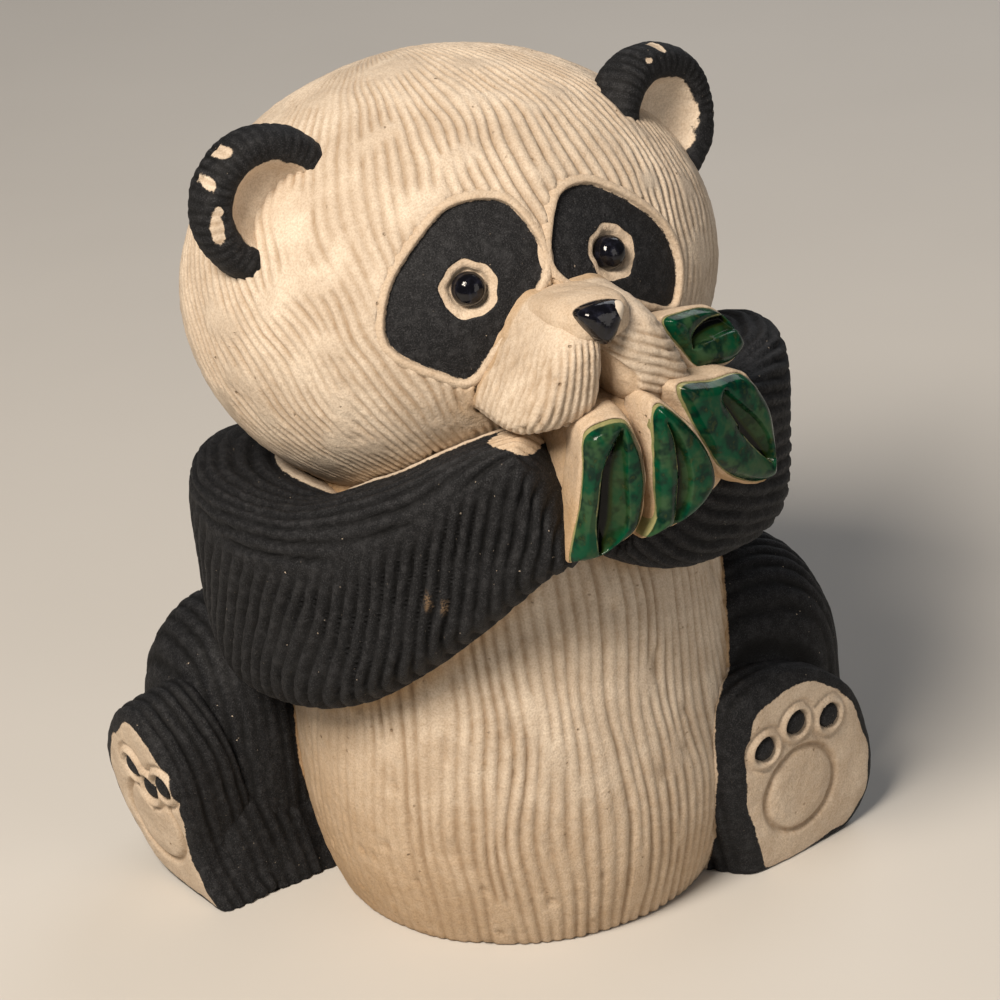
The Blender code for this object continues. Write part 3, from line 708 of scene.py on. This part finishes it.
# Stations from the shoulder to the paw: a middle, half the thickness and the height, and the ridge's share
ARM_STATIONS = {
    -1: [(-18, 11, 39.3, 9, 11.5, 0.8), (-24.2, 3, 42, 9, 12.8, 0.78), (-23, -7, 42.3, 9.2, 13.8, 0.62),
         (-17, -15.8, 43.9, 8.8, 12.8, 0.5), (-7.5, -22, 50.3, 8.4, 10.8, 0.45),
         (1.5, -26, 57, 7.5, 9, 0.6), (8, -28.3, 59.8, 6.6, 8, 0.75)],
    1: [(22, 12, 48, 9, 11.5, 0.7), (25, 5, 51, 9.3, 12, 0.7), (25, -3, 52.3, 9, 11.5, 0.7),
        (22, -11, 53.3, 8.5, 10.5, 0.7), (17, -18, 55, 8, 9.5, 0.7), (12, -22, 58, 7, 8, 0.7)],
}
# Each sleeve's columns and rows, and the share of its length and the rows that round off each end
ARM_GRIDS = {-1: (210, 236, 0.05, 14), 1: (196, 126, 0.07, 14)}


def sleeve_surface(side):
    """A sleeve's plain grid, how full each row is, and two values of each point.

    They are its height above the ridge, and its way along the sleeve, which leans with height.
    """
    columns, rows, cap, cap_rows = ARM_GRIDS[side]
    stations = ARM_STATIONS[side]
    angle = np.arange(cap_rows + 1) / (cap_rows + 1) * math.pi / 2
    inner = np.linspace(cap, 1 - cap, rows - 2 * cap_rows - 1)
    shares = np.concatenate([cap * (1 - np.cos(angle)), inner, 1 - cap * (1 - np.cos(angle[::-1]))])
    full = np.concatenate([np.sin(angle) ** 0.7, np.ones(len(inner)), np.sin(angle[::-1]) ** 0.7])
    path = spline(stations, shares)
    forward = spline(stations, np.minimum(1, shares + 0.02)) - spline(stations, np.maximum(0, shares - 0.02))
    forward = forward[:, :3] / np.linalg.norm(forward[:, :3], axis=-1, keepdims=True)
    up = np.array([0, 0, 1.0])
    aside = np.cross(forward, up) * side
    aside /= np.linalg.norm(aside, axis=-1, keepdims=True)
    aside *= np.sign(-forward[:, 1:2])
    rise = up - forward * forward[:, 2:]
    rise /= np.linalg.norm(rise, axis=-1, keepdims=True)
    turns = np.arange(columns) / columns
    grid = np.empty((len(shares), columns, 3))
    above = np.empty(grid.shape[:2])
    for index, (share, station) in enumerate(zip(full, path)):
        u, v = spline(sleeve(station[5]), turns, closed=True).T
        grid[index] = (station[:3] + aside[index] * (u * share * station[3])[:, None]
                       + rise[index] * (v * share * station[4])[:, None])
        above[index] = (v - station[5]) * station[4]
    level = forward * [1, 1, 0]
    level /= np.linalg.norm(level, axis=-1, keepdims=True)
    steps = np.linalg.norm(np.diff(path[:, :2], axis=0), axis=-1)
    run = np.concatenate([[0], np.cumsum(steps)])
    offset = grid - path[:, None, :3]
    travelled = run[:, None] + (offset * level[:, None]).sum(-1)
    return grid, full, above, travelled - 0.32 * offset[..., 2]


def arm_grid(side):
    """A sleeve. The right one is combed crosswise below its ridge, and the rest lengthwise."""
    grid, full, above, leaning = sleeve_surface(side)
    from_head = head_distance(grid)
    if side < 0:
        across = marks(grid, leaning / COMB_PITCH["sleeve_across"], 61)
        across = across * (0.3 + 0.7 * ease(-0.3, -4.0, above))
        upper = ease(-0.9, 0.5, above)
        along = marks(grid, from_head / COMB_PITCH["sleeve_along"], 64)
        cut = across * (1 - upper) + along * upper * 0.8
    else:
        girth = np.cumsum(np.linalg.norm(np.diff(grid, axis=1, prepend=grid[:, -1:]), axis=-1), axis=1)
        cut = marks(grid, girth / COMB_PITCH["left_sleeve"], 64) * 0.8
    # Along the head runs a ledge of bare clay with a crease inside it, sunk and painted near black as
    # painted shadow
    ledge = ease(1.5, 1.0, from_head)
    crease = ease(0.45, 0.1, from_head)
    cut = cut * full[:, None] ** 3 * (1 - ledge)
    rough = 0.06 * noise(grid, 1.0, 67) + 0.12 * noise(grid, 5.0, 68)
    height = rough - COMB_DEPTH["sleeve"] * cut + 0.25 * ledge - 1.1 * crease
    return moved(grid, height), cut + 2 * crease


# The middles of hip and sole and the thigh's half sizes, then outlines and places on the sole's own plane
LEGS = {
    1: {
        "hip": (25.5, 3.5, 17), "thigh": (14, 11.5, 19.5), "sole": (34.4, -6.8, 9.8), "bearing": 38,
        "rise": -4, "foot_depth": 13.0, "slant": -0.5, "swell": 0.14,
        "outline": [
            (-0.5, 13.2), (-5.6, 13.6), (-9.5, 11.8), (-11, 7.4), (-11, 2.1), (-10.3, -2.4), (-8.7, -7.2),
            (-7, -10.4), (0.7, -10.6), (5.6, -9.5), (8.8, -6.8), (9.9, -2.4), (8.4, 4.4), (5.4, 9.4),
        ],
        "shin": [(-8, 6), (-9, -2), (-8, -13), (0, -14), (6, -13), (7, -3), (4, 6), (-3, 9)],
        "shin_depth": 18.0, "pad": (-2.0, -0.8), "toes": ((-7.5, 6.7), (-2.6, 8.2), (2.6, 7.0)),
    },
    -1: {
        "hip": (-31.3, 8.4, 13.5), "thigh": (12.0, 11.0, 19.0), "sole": (-42.5, -2.8, 11.6), "bearing": -56,
        "rise": -10, "foot_depth": 9.5, "slant": 0.0, "swell": 0.10,
        "outline": [
            (1.0, 11.8), (-3.0, 10.4), (-6.6, 6.5), (-8.8, 1.4), (-8.4, -3.2), (-6.5, -7.5), (-3.0, -11.0),
            (3.8, -11.8), (9.0, -11.8), (8.3, -8.8), (7.2, -4.8), (7.5, 0.5), (7.0, 5.6), (4.7, 9.6),
        ],
        "shin": [(0, 7), (-5, 4), (-7, -3), (-5, -14), (3, -17), (9.6, -16), (9.2, -9), (8, -3), (6, 2),
                 (3.5, 6)],
        "shin_depth": 24.0, "pad": (0.2, -2.4), "toes": ((-1.6, 4.7), (1.4, 2.8), (4.6, 4.2)),
    },
}
PAD_RADIUS, TOE_RADIUS = 5.4, 1.45


def sole_frame(side):
    """A frame on a sole, whose -Y looks straight out of it."""
    return facing(*(LEGS[side][key] for key in ("sole", "bearing", "rise")))


def foot_grid(side):
    """A foot whose flat sole is bare clay, with three toe rings over a round pad."""
    leg = LEGS[side]
    fronts = 80
    lean = {"slant": leg["slant"], "swell": leg["swell"]}
    local, loop = pillow_grid(leg["outline"], leg["foot_depth"], 8.0, 200, fronts, 36, 6, **lean)
    flat = local[..., [0, 2]]
    front = np.arange(local.shape[0])[:, None] < fronts
    pad = np.linalg.norm(flat - leg["pad"], axis=-1)
    toe = np.min([np.linalg.norm(flat - spot, axis=-1) for spot in leg["toes"]], axis=0)
    pad_groove = np.exp(-((pad - PAD_RADIUS) / 0.42) ** 2) * ease(2.6, 3.1, toe)
    relief = -0.55 * pad_groove + 0.22 * ease(PAD_RADIUS - 0.3, PAD_RADIUS - 2.2, pad)
    relief += 0.30 * np.exp(-((toe - 2.05) / 0.30) ** 2) - 0.42 * np.exp(-((toe - 2.75) / 0.30) ** 2)
    relief -= 0.7 * ease(1.85, 1.35, toe)
    relief += 0.10 * noise(local, 3.0, 71) + 0.03 * noise(local, 0.8, 72)
    local[..., 1] -= np.where(front, relief, 0)
    inside = outline_distance(flat, loop[::3])
    slip = np.where(front, inside + 0.7 + 0.5 * noise(local, 3.0, 73), FULL)
    slip = np.where(front & (toe < TOE_RADIUS), FULL, slip)
    grid = out_of(sole_frame(side), local)
    ribs = marks(grid, local[..., 1] / COMB_PITCH["foot"], 74) * ease(1.0, 2.2, local[..., 1])
    height = 0.08 * noise(grid, 1.3, 75) + 0.15 * noise(grid, 5.0, 76) - COMB_DEPTH["foot"] * ribs
    return moved(grid, np.where(front, 0, height)), slip, np.where(front, pad_groove, ribs)


def shin_grid(side):
    """The leg between the foot and the body."""
    leg = LEGS[side]
    local, _ = pillow_grid(leg["shin"], leg["shin_depth"], 7.0, 130, 8, 60, 4, leg["slant"])
    behind = sole_frame(side) @ Matrix.Translation((0, leg["foot_depth"] / 3, 0))
    grid = out_of(behind, local)
    cut = marks(grid, local[..., 1] / COMB_PITCH["shin"], 77)
    height = 0.08 * noise(grid, 1.3, 78) + 0.2 * noise(grid, 5.0, 79) - COMB_DEPTH["shin"] * cut
    return moved(grid, height), cut


def thigh_grid(side):
    """The round of the hip and the upper leg."""
    leg = LEGS[side]
    place = facing(leg["hip"], leg["bearing"], 0)
    grid = lobe_grid(place, leg["thigh"], 2.3, 140, 90)
    local = into(place, grid)
    cut = marks(grid, local[..., 1] / COMB_PITCH["thigh"] + 0.1 * local[..., 0], 81)
    height = 0.08 * noise(grid, 1.2, 84) + 0.2 * noise(grid, 6.0, 85) - COMB_DEPTH["thigh"] * cut
    return moved(grid, height), cut


# Each ear's bearing and rise on the head, and the bearing that its dish looks along
EARS = {-1: (-78, 33, 2), 1: (75, 31, 22)}
# Chips in the slip of each ear: x and z on its face, and their half sizes
EAR_CHIPS = {
    -1: [(-4.7, 7.1, 1.0, 0.6), (-6.9, 4.2, 0.5, 0.8), (-7.1, -0.6, 0.7, 1.9), (-6.7, 1.2, 0.5, 0.6)],
    1: [(1.2, 8.3, 0.6, 0.8), (-1.6, 7.4, 0.4, 0.3)],
}
# The ear's half section from the back's middle, over the rim, to the bottom of the dish: radius and depth
EAR_PROFILE = [(0, 1.6), (2.4, 1.8), (4.4, 2.1), (5.4, 2.9), (6.6, 3.2), (7.8, 2.6), (8.5, 1.2), (8.6, 0),
               (8.4, -1.5), (7.6, -2.8), (6.4, -3.25), (5.2, -2.9), (4.5, -1.9), (3.7, -0.9), (2.2, -0.3),
               (0, -0.1)]


def ear_grid(side):
    """An ear: a thick rim of slip round a dished disc of bare clay."""
    bearing, rise, look = EARS[side]
    place = HEAD @ facing(on_head(bearing, rise, -0.6), look, 8)
    around, down = grid_of(132, 84)
    radius, deep = np.moveaxis(spline(EAR_PROFILE, down), -1, 0)
    a = around * math.tau
    radius = np.maximum(radius, 0)
    grid = out_of(place, np.stack([np.cos(a) * radius, deep, np.sin(a) * radius], -1))
    rim = ease(5.0, 6.0, radius)
    cut = marks(grid, around * EAR_RIBS, 91) * rim
    inside = (down > 0.6) & (radius < 6)
    slip = np.where(inside, radius - 4.9 + 0.35 * noise(grid, 1.6, 94), FULL)
    local = into(place, grid)
    for x, z, wide, high in EAR_CHIPS[side]:
        share = np.hypot((local[..., 0] - x) / wide, (local[..., 2] - z) / high)
        slip = np.where(local[..., 1] < 0, np.minimum(slip, (share - 1) * min(wide, high)), slip)
    height = 0.12 * noise(grid, 2.5, 95) + 0.05 * noise(grid, 0.9, 96) - COMB_DEPTH["ear"] * cut
    height = height - 0.12 * ease(0.1, -0.1, slip) * rim
    return moved(grid, height), slip, cut


# Each leaf: centre, bearing and rise of its face, its outline, its channel's steep side, the far side and
# the channel's depth
LEAVES = [
    ((12.8, -34, 61.2), 14, 0,
     [(1.8, 7.7), (-2.3, 7.0), (-3.0, 2.8), (-3.6, -1), (-5.1, -6.8), (-4.1, -7.5), (-1.9, -7.4),
      (0.3, -6.4), (2.6, -4.8), (3.6, -1.1), (3.8, 1.4), (3.4, 4.5)],
     [(1.5, 7.1), (0.1, 5.2), (-1.1, 2.8), (-1.85, -1.0), (-2.24, -3.6), (-2.1, -6.9)],
     [(1.7, 6.9), (1.7, 4.6), (1.6, 2.1), (1.5, -1.6), (1.1, -4.2), (-0.7, -6.4)], 1.6),
    ((20.4, -31, 61.6), 28, 0,
     [(-1.6, 7.9), (-3.0, 7.2), (-3.3, 3.2), (-3.5, -0.5), (-3.6, -4.2), (-4.9, -6.6), (-2.5, -6.3),
      (0.2, -5.9), (2.7, -4.4), (4.1, -2.4), (3.6, 0.6), (1.6, 4.3)],
     [(-1.9, 6.3), (-1.15, 3.6), (-1.05, 0.4), (-1.3, -2.2), (-1.6, -4.2), (-2.0, -6.0)],
     [(-1.4, 6.0), (-0.1, 3.3), (0.6, -0.1), (0.4, -2.7), (-0.3, -4.6), (-1.3, -6.0)], 1.0),
    ((26.5, -25, 63.5), 44, 5,
     [(-7.1, 7.0), (-2.2, 5.9), (2, 5.2), (4.3, 2.9), (5.7, -0.8), (5.8, -4.5), (5.4, -7.6), (3.6, -8),
      (1, -7), (-2.3, -4.4), (-4.7, -0.2), (-6.3, 3.4)],
     [(-1.4, 4.5), (-1.9, 3.4), (-0.7, 0.9), (0.65, -1.7), (2.8, -4.4), (4.4, -5.9)],
     [(-1.0, 4.5), (0.9, 2.1), (2.6, 0.2), (3.9, -1.7), (4.7, -3.7), (4.9, -5.6)], 1.3),
    ((24.1, -20, 71.6), 44, 20,
     [(-4.6, 3.5), (-1.9, 3.7), (1.9, 2.9), (4.1, 1.2), (5.4, -1.7), (5, -3.1), (3, -3.7), (0.5, -3.3),
      (-1.9, -2.6), (-3.3, -0.2)],
     [(3.3, 1.5), (0.9, 1.9), (-1.2, 1.5), (-2.3, 0.7), (-2.5, -0.4)],
     [(4.6, -0.8), (2.4, -0.5), (0.6, -0.5), (-1.0, -0.4), (-1.9, -0.6)], 1.0),
]
LEAF_DEPTH, LEAF_EDGE = 5.6, 9.0
# How far the clay's front lies behind a leaf's face, under the glaze and round it, and how far it sticks out
WALL_DEPTH, WALL_STEP, WALL_GROW = 2.6, 0.3, 0.3
WALL_THICKNESS = 6.0
# How thin the glaze lies on a leaf's side
SIDE_THIN = 0.85


def leaf_grids(number):
    """A leaf, with its glaze's thin and pooled places, and the wall of clay that it lies on.

    The leaf's channel drops sharply at its crest and rises slowly to its far side.
    """
    centre, bearing, rise, outline, crest, far, deepest = LEAVES[number]
    place = facing(centre, bearing, rise)
    fronts = 62
    local, loop = pillow_grid(outline, LEAF_DEPTH, LEAF_EDGE, 160, fronts, 8, 3)
    flat = local[..., [0, 2]]
    front = np.arange(local.shape[0])[:, None] < fronts
    shares = np.linspace(0, 1, 16)
    crest, far = spline(crest, shares), spline(far, shares)
    within = ease(0.12, -0.30, outline_distance(flat, np.concatenate([crest, far[::-1]])))
    from_crest = line_distance(flat, crest)
    across = from_crest / (from_crest + line_distance(flat, far) + 1e-9)
    channel = within * ease(0.0, 0.24, across) * (1 - across) ** 0.7
    inside = -outline_distance(flat, loop[::2])
    lobes = ease(0, 1.5, np.minimum(inside, from_crest + 0.4))
    relief = 0.55 * ease(0, 0.8, inside) + 0.45 * lobes * (1 - within)
    relief += 0.10 * noise(local, 2.4, 101 + number)
    local[..., 1] -= np.where(front, relief - deepest * channel, 0)
    ridge = np.exp(-(from_crest / 0.16) ** 2)
    thin = np.maximum(ease(0.24, 0.04, inside), ridge * 0.62)
    pool = within * (1 - 0.8 * ease(0.25, 0.6, across)) * ease(-0.1, 0.1, from_crest - 0.12)
    grid = out_of(place, local)
    step = place @ Matrix.Translation((0, WALL_STEP, 0))
    wall_fronts = 20
    wall, _ = pillow_grid(outline, WALL_THICKNESS, LEAF_EDGE, 96, wall_fronts, 14, 3, grow=WALL_GROW)
    sunk = ease(0.1, 0.5, -outline_distance(wall[..., [0, 2]], loop[::2]))
    wall_front = np.arange(wall.shape[0])[:, None] < wall_fronts
    wall[..., 1] += np.where(wall_front, sunk * (WALL_DEPTH - WALL_STEP), 0)
    wall = out_of(step, wall)
    rough = 0.12 * noise(wall, 2.0, 106) + 0.06 * noise(wall, 0.7, 107)
    return grid, np.where(front, thin, SIDE_THIN), np.where(front, pool, 0), moved(wall, rough)


# The figure


# The bridge and the nose, in the head's frame, and the clay behind the leaves
BRIDGE_MIDDLE, BRIDGE_RISE, BRIDGE_RADII = (0.5, -28, 4.4), 13.5, (4.6, 9.8, 2.9)
NOSE_MIDDLE, NOSE_RISE, NOSE_DEPTH, NOSE_EDGE = (0.1, -39.1, 7.2), 14, 4.4, 2.6
NOSE = [(-2.6, 1.5), (0, 2.2), (2.6, 1.5), (1.5, -1.1), (0, -2.4), (-1.5, -1.1)]
NOSE_CHIP = [2.0, 0.9, 0.9]
BLOCK_MIDDLE, BLOCK_BEARING, BLOCK_RADII = (15.5, -21.5, 61), 30, (11, 7, 8)
# How far the glazed eyes and the toes' beads are sunk in their beds, and how high they stand over them
EYE_SUNK, EYE_HEIGHT = 1.5, 1.75
TOE_SUNK, TOE_HEIGHT = 0.45, 0.75
# How far the slip stays off the head, the muzzle and the other bare clay
LEDGE_WIDTH, MUZZLE_GAP, JOIN_GAP = 1.15, 1.9, 0.3
# Places where the right sleeve's slip is rubbed to a dusty brown, and half the size of one
SCUFFS = [(-7.5, -31.6, 48.7), (-5.8, -32.4, 48.0)]
SCUFF_SIZE = [0.5, 2.0, 1.8]

grids = {"head": head_grid(), "torso": torso_grid()}
for side, word in ((-1, "right"), (1, "left")):
    grids["patch_" + word] = patch_grid(side)
    grids["puff_" + word] = puff_grid(side)
    grids["arm_" + word] = arm_grid(side)
    grids["foot_" + word] = foot_grid(side)
    grids["shin_" + word] = shin_grid(side)
    grids["thigh_" + word] = thigh_grid(side)
    grids["ear_" + word] = ear_grid(side)
at_muzzle = HEAD @ facing(BRIDGE_MIDDLE, 0, BRIDGE_RISE)
grids["bridge"] = (lobe_grid(at_muzzle, BRIDGE_RADII, 3.2, 110, 70),)
block = facing(BLOCK_MIDDLE, BLOCK_BEARING, 0)
grids["leaf_block"] = (lobe_grid(block, BLOCK_RADII, 3.0, 90, 60),)
leaves = [leaf_grids(number) for number in range(len(LEAVES))]
skin = {name: made[0] for name, made in grids.items()}


def join(name, *others):
    """Distance from each point of a form to the other forms."""
    return near(skin[name], [skin[other] for other in others])


# Clay that stays bare is warmer and darker in the creases where two forms meet, as painted shade
head_join = join("head", "arm_right", "arm_left", "puff_right", "puff_left")
# Painted shadow: the head's cut rises above 1 in its creases by the arms and the muzzle
head_cut_and_crease_shadow = grids["head"][1] + 2 * ease(0.7, 0.2, head_join)
piece("head", skin["head"], CLAY, slip=BARE, cut=head_cut_and_crease_shadow, warm=0.45 * ease(4.0, 0.4, head_join), wear=0)
# Painted shade: the torso is warmer in its creases by the arms and legs; it is also warmer towards the
# ground and towards -X
torso_join = join("torso", "arm_right", "arm_left", "shin_right", "shin_left", "thigh_right", "thigh_left")
low_down = 0.5 * ease(30, 2, skin["torso"][..., 2]) + 0.35 * ease(4, -22, skin["torso"][..., 0])
torso_warm_and_crease_shade = np.clip(0.75 * ease(2.5, 0.3, torso_join) + low_down, 0, 1)
piece("torso", skin["torso"], CLAY, slip=BARE, cut=grids["torso"][1], warm=torso_warm_and_crease_shade, wear=0)

for side, word in ((-1, "right"), (1, "left")):
    patch, patch_slip = grids["patch_" + word]
    piece("eye_patch_" + word, patch, CLAY, slip=patch_slip, cut=0, warm=0.25, wear=0)
    spot = eye_frame(side) @ Matrix.Translation((0, EYE_SUNK, 0))
    dome("eye_" + word, spot, BEAD_RADIUS, EYE_HEIGHT, BEAD, chip=0)
    puff, puff_cut, hollow = grids["puff_" + word]
    # Painted shade: warmer in the hollow facet and in the crease by the head
    puff_hollow_and_crease_shade = np.maximum(0.75 * hollow, 0.7 * ease(1.2, 0.2, head_distance(puff)))
    piece("muzzle_" + word, puff, CLAY, slip=BARE, cut=puff_cut, warm=np.maximum(0.1, puff_hollow_and_crease_shade), wear=0)

    arm, arm_cut = grids["arm_" + word]
    to_block = join("arm_" + word, "leaf_block")
    to_muzzle = join("arm_" + word, "puff_right", "puff_left") - MUZZLE_GAP
    to_body = np.min([torso_distance(arm), to_block, to_muzzle], axis=0)
    arm_slip = np.minimum(head_distance(arm) - LEDGE_WIDTH, to_body - JOIN_GAP)
    # Painted shade: the sleeve's bare clay is warmer in its creases by the body, the leaf block and the
    # muzzle
    arm_crease_shade = 0.45 * ease(1.3, 0.2, to_body)
    scuff = np.min([np.linalg.norm((arm - place) / SCUFF_SIZE, axis=-1) for place in SCUFFS], axis=0)
    piece("arm_" + word, arm, CLAY, slip=arm_slip, cut=arm_cut, warm=arm_crease_shade, wear=ease(1.0, 0.5, scuff))

    for part in ("thigh_", "shin_"):
        form, form_cut = grids[part + word]
        piece(part + word, form, CLAY, slip=torso_distance(form) - JOIN_GAP, cut=form_cut, warm=0.9, wear=0)
    foot, foot_slip, foot_cut = grids["foot_" + word]
    foot_slip = np.minimum(foot_slip, torso_distance(foot) - JOIN_GAP)
    piece("foot_" + word, foot, CLAY, slip=foot_slip, cut=foot_cut, warm=0.18, wear=0)
    for number, (x, z) in enumerate(LEGS[side]["toes"], 1):
        spot = sole_frame(side) @ Matrix.Translation((x, TOE_SUNK, z))
        dome(f"toe_{word}_{number}", spot, TOE_RADIUS, TOE_HEIGHT, CLAY, slip=FULL, cut=0, warm=0, wear=0)

    ear, ear_slip, ear_cut = grids["ear_" + word]
    piece("ear_" + word, ear, CLAY, slip=ear_slip, cut=ear_cut, warm=0.05, wear=0)

nose_at = HEAD @ facing(NOSE_MIDDLE, 0, NOSE_RISE)
nose_spot = into(nose_at, skin["bridge"])
nose_groove = np.exp(-((np.linalg.norm(nose_spot[..., [0, 2]] * [0.85, 1], axis=-1) - 3.6) / 0.4) ** 2)
nose_groove = nose_groove * (nose_spot[..., 1] < 4) * ease(1.0, -0.5, nose_spot[..., 0])
rough = 0.08 * noise(skin["bridge"], 1.4, 111) + 0.1 * noise(skin["bridge"], 4.0, 112) - 0.5 * nose_groove
piece("bridge", moved(skin["bridge"], rough), CLAY, slip=BARE, cut=0.7 * nose_groove, warm=0.3, wear=0)
nose_local, _ = pillow_grid(NOSE, NOSE_DEPTH, NOSE_EDGE, 80, 30, 16, 10)
chip = ease(1.5, 0.6, np.linalg.norm(nose_local - NOSE_CHIP, axis=-1))
piece("nose", out_of(nose_at, nose_local), BEAD, chip=chip)
block_grid = moved(skin["leaf_block"], 0.2 * noise(skin["leaf_block"], 2.5, 113))
piece("leaf_block", block_grid, CLAY, slip=BARE, cut=0, warm=0.7, wear=0)
for number, (leaf, thin, pool, wall) in enumerate(leaves, 1):
    piece(f"leaf_{number}", leaf, GREEN, thin=thin, pool=pool)
    wall_warm = 0.40 + 0.6 * ease(66, 56, wall[..., 2])
    piece(f"leaf_wall_{number}", wall, CLAY, slip=BARE, cut=0, warm=wall_warm, wear=0)


# Stage


def camera():
    """The photograph's viewpoint: in front, above, and rolled a little."""
    elevation, roll, distance = math.radians(25.5), math.radians(5.0), 0.45
    aim = Vector((1.1, 0, 45.2)) * U
    back = Vector((0, -math.cos(elevation), math.sin(elevation)))
    right = Vector((1, 0, 0))
    up = back.cross(right)
    turned_right = right * math.cos(roll) - up * math.sin(roll)
    turned_up = up * math.cos(roll) + right * math.sin(roll)
    made = bpy.data.objects.new("camera", bpy.data.cameras.new("camera"))
    axes = Matrix((turned_right, turned_up, back)).transposed().to_4x4()
    made.matrix_world = Matrix.Translation(aim + back * distance) @ axes
    made.data.sensor_width = 36
    made.data.lens = 143
    made.data.clip_start = 0.01
    bpy.context.scene.collection.objects.link(made)
    bpy.context.scene.camera = made


def light(name, place, size, watts, colour):
    """A soft square light that looks at the figure."""
    made = bpy.data.objects.new(name, bpy.data.lights.new(name, "AREA"))
    made.data.shape = "SQUARE"
    made.data.size = size
    made.data.energy = watts
    made.data.color = colour
    made.location = place
    made.rotation_euler = (Vector((0, 0, 0.045)) - Vector(place)).to_track_quat("-Z", "Y").to_euler()
    bpy.context.scene.collection.objects.link(made)


def stage():
    """A plain pale floor, soft lights and a pale sky."""
    floor_mesh = bpy.data.meshes.new("floor")
    reach = 2.0
    corners = [(-reach, -reach, 0), (reach, -reach, 0), (reach, reach, 0), (-reach, reach, 0)]
    floor_mesh.from_pydata(corners, [], [(0, 1, 2, 3)])
    floor = bpy.data.objects.new("floor", floor_mesh)
    floor.location.z = -0.0002
    bpy.context.scene.collection.objects.link(floor)
    material, tree, shader = tree_of("floor")
    at = node(tree, "TexCoord").outputs["Object"]
    shade = mix(tree, speckle(tree, at, 0.02), FLOOR_DARK, FLOOR_PALE)
    tree.links.new(shade, shader.inputs["Base Color"])
    shader.inputs["Roughness"].default_value = 0.8
    floor_mesh.materials.append(material)
    light("key", (-0.20, -0.34, 0.50), 0.20, 5.2, (1.0, 0.89, 0.76))
    light("fill", (0.50, -0.45, 0.25), 0.40, 0.7, (1.0, 0.93, 0.86))
    light("back", (0.25, 0.50, 0.45), 0.40, 1.0, (0.95, 0.97, 1.0))
    world = bpy.data.worlds.new("studio")
    world.use_nodes = True
    sky = world.node_tree.nodes["Background"].inputs
    sky["Color"].default_value = SKY
    sky["Strength"].default_value = 0.10
    bpy.context.scene.world = world
    bpy.context.scene.view_settings.view_transform = "Standard"


camera()
stage()
